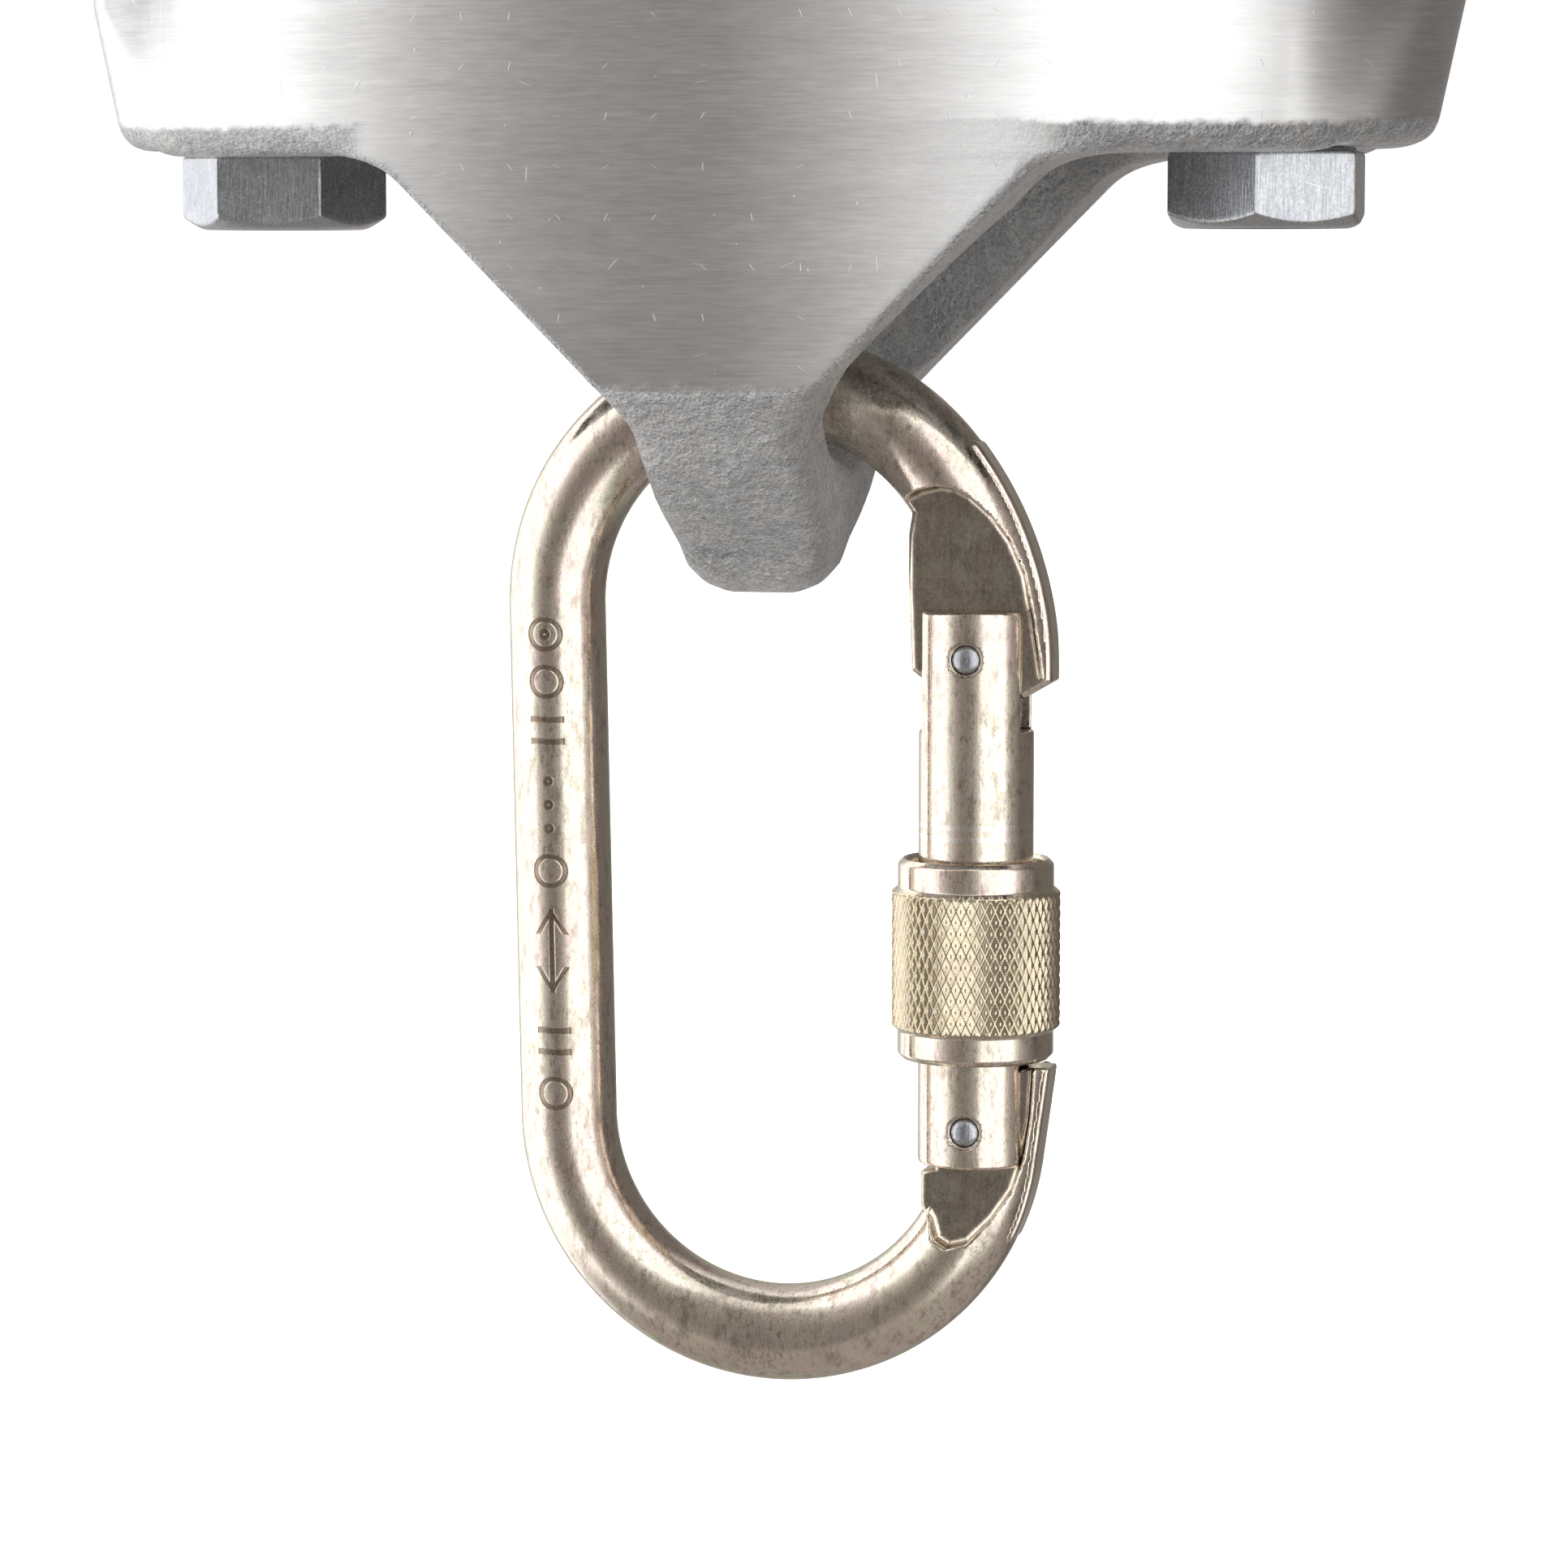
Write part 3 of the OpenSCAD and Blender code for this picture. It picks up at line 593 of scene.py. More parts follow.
def yellow_film(graph, point, axes, normal_y, big, mid):
    """Colour of the yellow film, with brown veins and specks, and painted shade on the rims, in the
    knurl's grooves and on the blades' flats.
    """
    x, y, z = axes
    facing = graph.signal("ShaderNodeLayerWeight", {"Blend": 0.5}, "Facing")
    film = big * 1.1 + (mid * 0.5 + facing * 0.35)
    color = film.remap(0.55, 1.25).color_ramp(YELLOW_FILM)
    # painted shade: darker and browner at grazing angles, along the rims
    color = graph.mix(facing.fade(zero=0.55, one=0.98), color, (0.55, 0.48, 0.30))
    vein = point.shifted((9.0, 2.0, 5.0)).stretched((0.9, 0.9, 0.35)).noise(detail=5, rough=0.7)
    vein = vein.fade(zero=0.50, one=0.66)
    speck = point.stretched((2.2, 2.2, 1.1)).noise(detail=5, rough=0.75)
    speck = speck.fade(zero=0.52, one=0.64)
    patch = point.noise(scale=0.13).fade(zero=0.42, one=0.60)
    color = graph.mix(vein * 0.55, color, (0.30, 0.23, 0.18))
    color = graph.mix(speck * graph.mix_value(patch, 0.25, 0.75), color, (0.36, 0.30, 0.24))
    # straw tint on the sleeve's knurl, made stronger and darker in its grooves as painted shade
    radius = point.radius_about(x=GATE_X)
    straw = radius.band(rise=(8.3, 8.5), fall=(9.4, 9.7))
    straw = straw * z.band(rise=(-91.5, -91.0), fall=(-76.8, -76.3))
    strength = graph.mix_value(radius.fade(zero=8.62, one=8.8), 0.85, 0.55)
    color = graph.mix(straw * strength, color, (0.60, 0.52, 0.34))
    # painted shade: the flats of the karabiner's two blades darkened towards brown
    blade = abs(y).fade(zero=2.62, one=2.54) * abs(normal_y).fade(zero=0.90, one=0.97)
    blade = blade * x.fade(zero=14.0, one=14.6)
    strength = mid.remap(0.35, 0.65, to=(0.35, 0.78))
    return graph.mix(blade * strength, color, (0.22, 0.19, 0.15))


def rub_rings(point, z):
    """Mask of faint rings on the gate tube, just above the sleeve."""
    zone = z.band(rise=(-71.6, -71.3), fall=(-69.2, -68.9))
    rings = zone * (z * 5.2).math("SINE").math("GREATER_THAN", 0.1)
    return rings * point.radius_about(x=22.55).fade(zero=6.3, one=6.1)


def spine_stamp(graph, axes, normal_y):
    """Mask of a stamped row of plain marks down the -y side of the spine."""
    x, _, z = axes
    # distance across the row, whose line leans with the spine
    across = x - z.math("MULTIPLY_ADD", -0.0194, -23.52)
    across_abs = abs(across)

    def ring(mark_z, radius=1.55):
        return abs(graph.combine(across, z - mark_z, 0.0).length() - radius)

    def bar(mark_z, half_z=0.05, half_across=1.5, center=0.0):
        off_z = abs(z - mark_z) - half_z
        off_across = abs(across - center) - half_across
        return off_z.maximum(off_across).maximum(0.0)

    def arrow(tip_z, way):
        """An arrow head that opens from its tip upwards (1) or downwards (-1)."""
        along = (z - tip_z) * way
        off_side = abs(across_abs - along * 0.6)
        off_end = (along - 2.2).maximum(along * -1.0)
        return off_side.maximum(off_end.maximum(0.0))

    marks = [ring(-50.5), ring(-50.5, radius=0.35), ring(-55.5), bar(-59.5), bar(-61.8)]
    marks += [ring(mark_z, radius=0.3) for mark_z in (-66.0, -68.5, -71.0)]
    marks += [ring(-75.5), bar(-84.0, half_z=4.2, half_across=0.05)]
    marks += [arrow(-79.8, way=-1.0), arrow(-88.2, way=1.0)]
    marks += [bar(-92.5), bar(-94.8), ring(-99.2)]
    nearest = marks[0]
    for mark in marks[1:]:
        nearest = nearest.math("MINIMUM", mark)
    on_spine = normal_y.fade(zero=-0.55, one=-0.75) * x.fade(zero=-17.0, one=-18.0)
    return nearest.fade(zero=0.36, one=0.18) * on_spine


def zinc(name, kind):
    """Zinc-plated steel in one of the ZINC finishes."""
    look = ZINC[kind]
    mat, graph = new_material(name)
    point, normal = graph.point_and_normal()
    big = point.noise(scale=0.10, rough=0.55, distortion=0.6)
    mid = point.shifted((31.0, 5.0, 9.0)).noise(scale=0.42, detail=4, rough=0.62)
    fine = point.noise(scale=4.2, rough=0.65)
    spark = point.shifted((3.0, 41.0, 7.0)).noise(scale=9.0, detail=2)
    drawn = point.stretched(look["drawn"]).noise()
    if kind == "yellow":
        axes = point.parts()
        normal_y = normal.parts()[1]
        color = yellow_film(graph, point, axes, normal_y, big, mid)
    else:
        color = graph.mix(big.remap(0.35, 0.65), *look["tones"])

    patches = fine * 0.55 + (mid * 0.30 + drawn * 0.30)
    patches = patches.fade(zero=look["patch"][0], one=look["patch"][1]) * 0.46 + look["least"]
    height = fine * 0.5 + (drawn * 0.5 + mid * 0.9)
    sharp_normal = height.bump(strength=0.16, depth=look["dent"])
    dull_normal = (spark + fine * 0.6).bump(strength=0.45, depth=0.00009)
    if kind == "clear":
        # upright machining marks, and a fine mottle
        tooling = point.stretched((6.0, 6.0, 0.35)).noise(detail=2)
        sharp_normal = tooling.bump(strength=0.35, depth=0.00010, over=sharp_normal)
        color = graph.mix(tooling.remap(0.35, 0.65), color.scaled(0.72), color)
        mottle = point.noise(scale=3.0, detail=2).remap(0.38, 0.62)
        color = graph.mix(mottle, color.scaled(0.78), color)
    scratch = graph.scratches(point, cell=5.0, length=3.0, width=0.05, seed=5.0)
    color = graph.mix(scratch * 0.5, color, RUBBED)
    if kind == "yellow":
        color = graph.mix(rub_rings(point, axes[2]) * 0.5, color, RUBBED)
        stamp = spine_stamp(graph, axes, normal_y)
        color = graph.mix(stamp * 0.70, color, (0.16, 0.09, 0.05))
        sharp_normal = (stamp * -1.0).bump(strength=0.5, depth=0.00012, over=sharp_normal)

    sharp_rough, dull_rough = look["rough"]
    sharp = graph.principled(color, sharp_rough, Normal=sharp_normal)
    dull_color = graph.mix(0.5, color, look["dull"])
    dull = graph.principled(dull_color, dull_rough, Normal=dull_normal)
    graph.node("ShaderNodeOutputMaterial", {0: graph.mix_shader(patches, sharp, dull)})
    return mat


def white_nylon():
    mat, graph = new_material("white_nylon")
    cloud = graph.point_and_normal()[0].noise(scale=1.4, rough=0.5)
    shader = graph.principled(
        graph.mix(cloud, (0.78, 0.77, 0.70), (0.88, 0.87, 0.80)),
        rough=0.45,
        metallic=0.0,
        Normal=cloud.bump(strength=0.2, depth=0.0002),
        Subsurface_Weight=0.2,
    )
    graph.node("ShaderNodeOutputMaterial", {0: shader})
    return mat


CAST = cast_aluminium()
YELLOW = zinc("yellow_passivated_zinc", "yellow")
CLEAR = zinc("clear_zinc", "clear")
FORGED = zinc("forged_zinc", "forged")
NYLON = white_nylon()

# ------------------------------------------------------------------ anchor casting

WING_HALF_LENGTH = 72.6
WING_HALF_DEPTH = 25.5
WING_TOP = 30.0
PAD_HALF_LENGTH = 44.0  # raised pad under the bearing face
CHEEK_HALF_LENGTH = 35.7  # where the cheeks' 45 degree edges meet the wing's underside
CHEEK_INNER_Y = 14.5
EYE_Z = -18.7
EYE_R = 12.5
LUG_TIP_Z = -39.0  # centre of the lug's round tip
LUG_TIP_R = 7.7

# (y, z) down the +y edge of the lug
LUG_EDGE = [
    (25.5, 3), (25.5, -24.0), (21.0, -28.6), (17.9, -32.7),
    (13.6, -36.9), (10.2, -39.2), (7.9, -41.2),
]
LUG_TIP = [
    (LUG_TIP_R * math.sin(a), LUG_TIP_Z - LUG_TIP_R * math.cos(a))
    for a in np.radians(np.arange(-68, 69, 8))
]
LUG_IN_YZ = [(-y, z) for y, z in LUG_EDGE] + LUG_TIP + LUG_EDGE[::-1]
# (x, z) down the +x edge of the lug
LUG_FLANK = [
    (10.8, 4), (10.8, -21.5), (9.2, -28), (8.5, -38), (7.3, -43.1), (5.9, -45.3), (3.6, -46.9),
]
LUG_IN_XZ = LUG_FLANK + [(-x, z) for x, z in LUG_FLANK[::-1]]

# (x, degrees): which way the sheen of the wing's long sides turns towards the ends
SHEEN = [
    (-74, -80), (-60, -43), (-51, -26), (-45, -17), (-40, -13), (-35, -11), (-29, -8),
    (-15, -2), (-8, 0), (0, 4), (6, 8), (17, 12.5), (24, 15), (31, 18), (38, 24),
    (46, 31), (59, 43), (66, 58), (72, 80),
]


def plan_outline():
    """The wing from above: flat middle, 15 degree flanks, and round ends tangent to them."""
    flank, flank_x, flank_run, step = 15.0, 31.0, 4.0, 0.25
    x, y = 0.0, WING_HALF_DEPTH
    quarter = [(x, y)]
    while True:
        bend = float(ease(flank_x, flank_x + flank_run, x + step / 2))
        angle = math.radians(flank * bend)
        x += step
        y -= math.tan(angle) * step
        quarter.append((x, y))
        if x > 40:
            radius = y / math.cos(angle)
            center_x = x - radius * math.sin(angle)
            if center_x + radius >= WING_HALF_LENGTH - 0.02:
                break
    for a in np.linspace(math.pi / 2 - angle, 0, 40)[1:]:
        quarter.append((center_x + radius * math.cos(a), radius * math.sin(a)))
    quarter = np.array(quarter)
    right = np.vstack([quarter, quarter[::-1][1:] * [1, -1]])
    outline = np.vstack([right, right[::-1][1:-1] * [-1, 1]])
    return outline[np.r_[True, np.linalg.norm(np.diff(outline, axis=0), axis=1) > 1e-6]]


# distance to the plan outline, tabled on a grid because it is asked for so often
GRID_STEP = 0.5
GRID_X = np.arange(-80, 80.01, GRID_STEP)
GRID_Y = np.arange(-30, 30.01, GRID_STEP)
PLAN_GRID = polygon(plan_outline(), GRID_X[:, None], GRID_Y[None, :])


def plan_distance(x, y):
    """Distance to the plan outline, interpolated from its grid."""
    u = np.clip((x + 80) / GRID_STEP, 0, len(GRID_X) - 1.001)
    v = np.clip((y + 30) / GRID_STEP, 0, len(GRID_Y) - 1.001)
    u, v = np.broadcast_arrays(u, v)
    i, j = u.astype(int), v.astype(int)
    u, v = u - i, v - j
    return (
        PLAN_GRID[i, j] * (1 - u) * (1 - v)
        + PLAN_GRID[i + 1, j] * u * (1 - v)
        + PLAN_GRID[i, j + 1] * (1 - u) * v
        + PLAN_GRID[i + 1, j + 1] * u * v
    )


def casting_distance(x, y, z):
    abs_x, abs_y = np.abs(x), np.abs(y)
    # plan outline, drawn in towards the underside at the ends
    draw = 3.2 * (1 - np.clip(z / 15.0, 0, 1))
    plan = plan_distance(x + np.sign(x) * draw * ease(44, 66, abs_x), y)
    # cheeks: 45 degree edges that meet the wing in a fillet, and the lug between them
    cheek = union(-z, (abs_x - CHEEK_HALF_LENGTH - z) * 0.7071, 4.0)
    lug_yz = polygon(LUG_IN_YZ, y, z)
    lug_xz = polygon(LUG_IN_XZ, x, z)
    cheek = overlap(overlap(cheek, CHEEK_INNER_Y - abs_y, 1.2), lug_yz, 1.5)
    hanging = union(cheek, overlap(lug_yz, lug_xz, 3.0), 2.2)
    # the cheeks' edges are crisp, the wing's lower rim is well rounded
    d = overlap(union(-z, hanging, 3.0), plan, 0.7 + 2.7 * ease(36, 42, abs_x))
    d = overlap(d, z - WING_TOP, 1.2)
    pad = np.maximum(plan_distance(x, y), abs_x - PAD_HALF_LENGTH)
    pad = overlap(pad, z - BEARING_Z, 0.6)
    d = np.minimum(d, np.maximum(pad, 20 - z))
    # eye along x, with well rounded mouths
    flare = np.clip((abs_x - 4.6) / 6.4, 0, 1.4)
    d = cut(d, np.hypot(y, z - EYE_Z) - EYE_R - 3.2 * flare**2, 1.6)
    # bolt bores, pockets for the claws' legs, and cored pockets
    d = cut(d, np.hypot(abs_x - BOLT_X, y) - BOLT_BORE_R, 0.7)
    d = cut(d, np.maximum(rounded_rect(abs_x, y, 61.5, 68.5, 8, 1.5), 12 - z), 0.7)
    return cut(d, np.maximum(rounded_rect(abs_x, y, 15, 39, 14, 4), 9 - z), 0.8)


def roll_sheen(points, normals):
    """Turns the normals of the long sides towards the ends, without moving the shape."""
    x, y, _ = points.T
    turn = np.radians(np.interp(x, *np.transpose(SHEEN)))
    flat = np.hypot(normals[:, 0], normals[:, 1])
    share = ease(0.2, 0.55, np.abs(normals[:, 1]))
    share = share * ease(16.0, 19.0, np.abs(y) + 0.5 * np.maximum(np.abs(x) - 58, 0))
    share = share * (plan_distance(x, y) > -3.6)
    turned_y = np.sign(normals[:, 1]) * flat * np.cos(turn)
    turned = np.stack([flat * np.sin(turn), turned_y, normals[:, 2]], 1)
    normals = normals + share[:, None] * (turned - normals)
    return normals / np.linalg.norm(normals, axis=1)[:, None]


points, quads, normals = surface(
    casting_distance, (-73.4, -26, -47.5), (73.4, 26, 36.5), 0.62
)
normals = roll_sheen(points, normals)
casting = mesh_object("body_casting", points, quads, normals, within="anchor_body")
dress(casting, CAST, "anchor", "anchor_body")

# ------------------------------------------------------------------ karabiner body

BAR_R = 5.1
# arcs of the bar's centre line, with their centres as (x, z)
TOP, BOW_R = (0.6, -47.2), 23.2
BOTTOM = (1.65, -101.4)
LEAN = math.atan2(BOTTOM[0] - TOP[0], TOP[1] - BOTTOM[1])
SHOULDER_R, SHOULDER_TURN = 34.2, math.radians(38)
SHOULDER = (
    TOP[0] - (SHOULDER_R - BOW_R) * math.cos(SHOULDER_TURN),
    TOP[1] - (SHOULDER_R - BOW_R) * math.sin(SHOULDER_TURN),
)
GATE_SIDE_X = SHOULDER[0] + SHOULDER_R
NOSE_TURN = math.radians(8)
NOSE = (BOTTOM[0] + BOW_R * math.cos(NOSE_TURN), BOTTOM[1] - BOW_R * math.sin(NOSE_TURN))

BLADE_HALF = 2.5  # half thickness of the flat blades at hinge and nose
PIN_HOLE_R = 1.55

# (x, z) outlines: where the bar is milled down to blade thickness, and the blades themselves
HINGE_MILL = [
    (10, -36.6), (15.6, -36.0), (17.3, -35.1), (19.4, -34.6), (21.1, -34.8), (22.7, -35.6),
    (24.9, -37.5), (26.9, -40.2), (28.4, -43.6), (29.3, -48.0), (30.3, -54.4), (30.8, -62),
    (10, -62),
]
HINGE_BLADE = [
    (17.2, -34.6), (16.3, -37.2), (15.9, -39.6), (15.85, -44), (16.2, -53.8), (19.45, -56.3),
    (28.1, -56.5), (31.2, -54.7), (31.2, -30), (20.5, -30),
]
NOSE_MILL = [
    (10, -90), (29.6, -90), (29.5, -96.2), (29.25, -100.2), (28.6, -104.3), (27.3, -108.0),
    (25.2, -111.0), (22.7, -113.5), (20.5, -114.1), (19.2, -113.3), (18.7, -111.4),
    (17.5, -109.1), (10, -108),
]
NOSE_BLADE = [
    (18.95, -106.0), (17.4, -106.4), (17.4, -110), (20, -116), (31.2, -112), (31.2, -95.05),
    (29.2, -95.05), (26.7, -95.4), (22.2, -95.55), (20.1, -95.95), (18.95, -97.1),
    (18.95, -99.6), (22.75, -99.6), (24.2, -100.1), (24.75, -101.6), (24.2, -103.0),
    (22.75, -103.35), (18.95, -103.35),
]


def center_line(x, z):
    """Distance in the XZ plane to the bar's centre line, which is closed along the gate."""
    spine = -(x - TOP[0]) * math.cos(LEAN) - (z - TOP[1]) * math.sin(LEAN) - BOW_R
    nose = (x - NOSE[0]) * math.cos(NOSE_TURN) - (z - NOSE[1]) * math.sin(NOSE_TURN)
    sides = np.maximum(spine, np.where(z > -75, x - GATE_SIDE_X, nose))
    rise_z = (z - SHOULDER[1]) * math.cos(SHOULDER_TURN)
    on_bow = rise_z - (x - SHOULDER[0]) * math.sin(SHOULDER_TURN) > 0
    bow = np.hypot(x - TOP[0], z - TOP[1]) - BOW_R
    shoulder = np.hypot(x - SHOULDER[0], z - SHOULDER[1]) - SHOULDER_R
    bottom = np.hypot(x - BOTTOM[0], z - BOTTOM[1]) - BOW_R
    above = z > np.where(x < TOP[0], TOP[1] + (x - TOP[0]) * math.tan(LEAN), SHOULDER[1])
    slope = np.where(x < BOTTOM[0], math.tan(LEAN), -math.tan(NOSE_TURN))
    below = z < BOTTOM[1] + (x - BOTTOM[0]) * slope
    return np.where(above, np.where(on_bow, bow, shoulder), np.where(below, bottom, sides))


def karabiner_distance(x, y, z):
    line = center_line(x, z)
    abs_y = np.abs(y)
    # the bar, open on the gate side
    bar = np.hypot(line, y) - BAR_R
    bar = overlap(bar, np.minimum(np.minimum(x - 10.0, -54.6 - z), z + 95.0), 0.3)
    # milled flats, with a small fillet where the cutter's edge ran
    for outline in (HINGE_MILL, NOSE_MILL):
        bar = cut(bar, overlap(polygon(outline, x, z), BLADE_HALF - abs_y, 0.9), 0.35)
    # the bar ends where the shaped blades begin
    blade_z = np.minimum(np.abs(z + 50) - 10, np.abs(z + 96.05) - 10.05)
    core = np.maximum(np.maximum(blade_z, abs_y - (BLADE_HALF - 0.05)), 10 - x)
    d = np.maximum(bar, -core)
    for outline, edge in ((HINGE_BLADE, 0.9), (NOSE_BLADE, 0.6)):
        blade = overlap(polygon(outline, x, z), line - BAR_R, 0.3)
        d = np.minimum(d, overlap(blade, abs_y - BLADE_HALF, edge))
    return cut(d, np.hypot(x - GATE_X, z - HINGE_Z) - PIN_HOLE_R, 0.1)


points, quads, normals = surface(
    karabiner_distance, (-28, -5.2, -130.0), (31.6, 5.2, -18.6), 0.30
)
karabiner = mesh_object(
    "karabiner_bow_and_spine", points, quads, normals, within="karabiner_body"
)
dress(karabiner, YELLOW, "karabiner", "karabiner_body")

# ------------------------------------------------------------------ gate

TUBE_R = 6.0
TUBE_TOP, TUBE_BOTTOM = -47.5, -105.5
TUBE_BORE_R = 3.65
SLOT_HALF = 2.7  # half width of the slots that take the two blades
PIN_SIDES = 40

# (r, z) from one end of a pin to its middle: domed head, then straight shank
PIN_HALF = [
    (0.02, -5.95), (0.40, -5.93), (0.78, -5.86), (1.10, -5.73),
    (1.35, -5.55), (1.47, -5.40), (1.5, -5.2), (1.5, 0),
]


def tube_distance(x, y, z):
    r = np.hypot(x - GATE_X, y)
    abs_y = np.abs(y)
    d = overlap(r - TUBE_R, np.maximum(z - TUBE_TOP, TUBE_BOTTOM - z), 0.5)
    d = cut(d, np.maximum(np.maximum(r - TUBE_BORE_R, -79 - z), z + 55.6), 0.2)
    # slots: right across at the hinge, open towards +x at the nose
    d = cut(d, np.maximum(abs_y - SLOT_HALF, -60 - z), 0.35)
    nose_slot = np.maximum(np.maximum(abs_y - SLOT_HALF, z + 94.8), (GATE_X - 4.15) - x)
    d = cut(d, nose_slot, 0.35)
    for pin_z in (HINGE_Z, LATCH_Z):
        from_pin = np.hypot(x - GATE_X, z - pin_z)
        d = cut(d, from_pin - 1.52, 0.1)
        # shallow counterbore round the pin's head
        d = cut(d, np.maximum(from_pin - 1.80, 5.55 - abs_y), 0.12)
    return d


def riveted_pin(name, pin_z):
    """A pin along y: a straight shank with a low domed head at each end."""
    half = np.array(PIN_HALF)
    profile = np.vstack([half, half[::-1][1:] * [1, -1]])
    upright, faces = lathe(profile, PIN_SIDES, 0, closed=False)
    laid = np.stack([upright[:, 0] + GATE_X, upright[:, 2], -upright[:, 1] + pin_z], 1)
    pin = mesh_object(name, laid, faces)
    work = bmesh.new()
    work.from_mesh(pin.data)
    bmesh.ops.holes_fill(work, edges=[e for e in work.edges if e.is_boundary])
    bmesh.ops.recalc_face_normals(work, faces=work.faces)
    work.to_mesh(pin.data)
    work.free()
    pin.data.polygons.foreach_set("use_smooth", np.ones(len(pin.data.polygons), bool))
    return pin


points, quads, normals = surface(
    tube_distance, (16.6, -6.05, -105.6), (28.9, 6.05, -47.4), 0.22
)
tube = mesh_object("gate_tube_shell", points, quads, normals)
dress(tube, YELLOW, "gate", "gate_tube")
for place, pin_z in (("hinge", HINGE_Z), ("latch", LATCH_Z)):
    dress(riveted_pin(place + "_rivet", pin_z), CLEAR, "gate", place + "_pin")

# ------------------------------------------------------------------ locking sleeve

SLEEVE_Z = -94.4  # lower end
SLEEVE_LENGTH = 21.0
SLEEVE_BORE_R = 6.06
MOUTH_R = 7.2  # wider bore at both ends
GROOVE_R = 7.0  # groove inside, halfway up
COLLAR_R = 8.15  # smooth band at both ends
KNURL_R = 8.85
KNURL_DEPTH = 0.24
DIAMONDS_ROUND = 53
DIAMOND_HEIGHT = 2.33


def knurl(angle, r, z):
    """Presses the grooves of a diamond knurl into the sleeve's wide middle."""
    up = z - SLEEVE_Z
    zone = ease(3.3, 3.6, up) * (1 - ease(SLEEVE_LENGTH - 3.7, SLEEVE_LENGTH - 3.4, up))
    zone = zone * (r > 8.3)
    u = angle * DIAMONDS_ROUND / (2 * math.pi)
    v = up / DIAMOND_HEIGHT
    # 0 in the middle of a groove, for each of the two crossing sets
    rising = np.abs(((u + v) % 1.0) - 0.5) * 2
    falling = np.abs(((u - v) % 1.0) - 0.5) * 2
    ridge = np.clip(np.minimum(rising, falling) * 1.25, 0, 1)
    return r - KNURL_DEPTH * (1 - ridge) * zone


def sleeve_profile():
    """Closed (r, z) profile, with closely spaced points along the knurl."""
    top = SLEEVE_LENGTH
    corners = [
        (MOUTH_R + 0.35, 0), (COLLAR_R - 0.55, 0), (COLLAR_R, 0.55), (COLLAR_R, 2.95),
        (KNURL_R - 0.02, 3.5), (KNURL_R - 0.02, top - 3.5),
        (COLLAR_R, top - 2.95), (COLLAR_R, top - 0.55), (COLLAR_R - 0.55, top),
        (MOUTH_R + 0.35, top), (MOUTH_R, top - 0.35), (MOUTH_R, top - 3.2),
        (SLEEVE_BORE_R, top - 3.2), (SLEEVE_BORE_R, 11.9), (GROOVE_R, 11.9),
        (GROOVE_R, 9.7), (SLEEVE_BORE_R, 9.7), (SLEEVE_BORE_R, 3.4),
        (MOUTH_R, 3.4), (MOUTH_R, 0.35),
    ]
    rounded = round_corners(corners, 0.16, 2)
    profile = []
    for i in range(len(rounded)):
        start, end = rounded[i], rounded[(i + 1) % len(rounded)]
        profile.append(start)
        length = np.linalg.norm(end - start)
        if start[0] > 8.5 and end[0] > 8.5 and length > 2:
            steps = int(length / (0.12))
            for j in range(1, steps):
                profile.append(start + (end - start) * j / steps)
    profile = np.array(profile)
    profile[:, 1] += SLEEVE_Z
    return profile


points, quads = lathe(sleeve_profile(), DIAMONDS_ROUND * (10), GATE_X, knurl)
sleeve = mesh_object("knurled_locking_sleeve", points, quads)
sharpen_edges(sleeve, 38)
dress(sleeve, YELLOW, "sleeve", "locking_sleeve")

# ------------------------------------------------------------------ clamp bolts

SHANK_R = 6.0
SHANK_SIDES = 48
SHANK_START, SHANK_END = -1.5, 89.4
THREAD_START = 54.0
PITCH = 1.75
RINGS_PER_TURN = 8


def head_distance(x, y, z):
    """Hexagon head from z = -8.2 up to the washer face at 0."""
    r = np.hypot(x, y)
    d = overlap(hexagon(x, y, HEX_FLATS), np.abs(z + 4.3) - 3.9, 0.4)
    # chamfer cones at the lower and the upper end
    d = overlap(d, (r - (HEX_FLATS / 2 - 0.9) - (z + 8.2) * 1.75) * 0.5, 0.35)
    d = overlap(d, (r - (HEX_FLATS / 2 + 1.2) + (z + 0.4) * 1.75) * 0.5, 0.3)
    washer = overlap(r - 9.0, np.abs(z + 0.5) - 0.48, 0.15)
    # slightly dished lower end
    d = cut(d, np.maximum(r - 7.6, -(z + 8.05)), 0.25)
    return union(d, washer, 0.25)


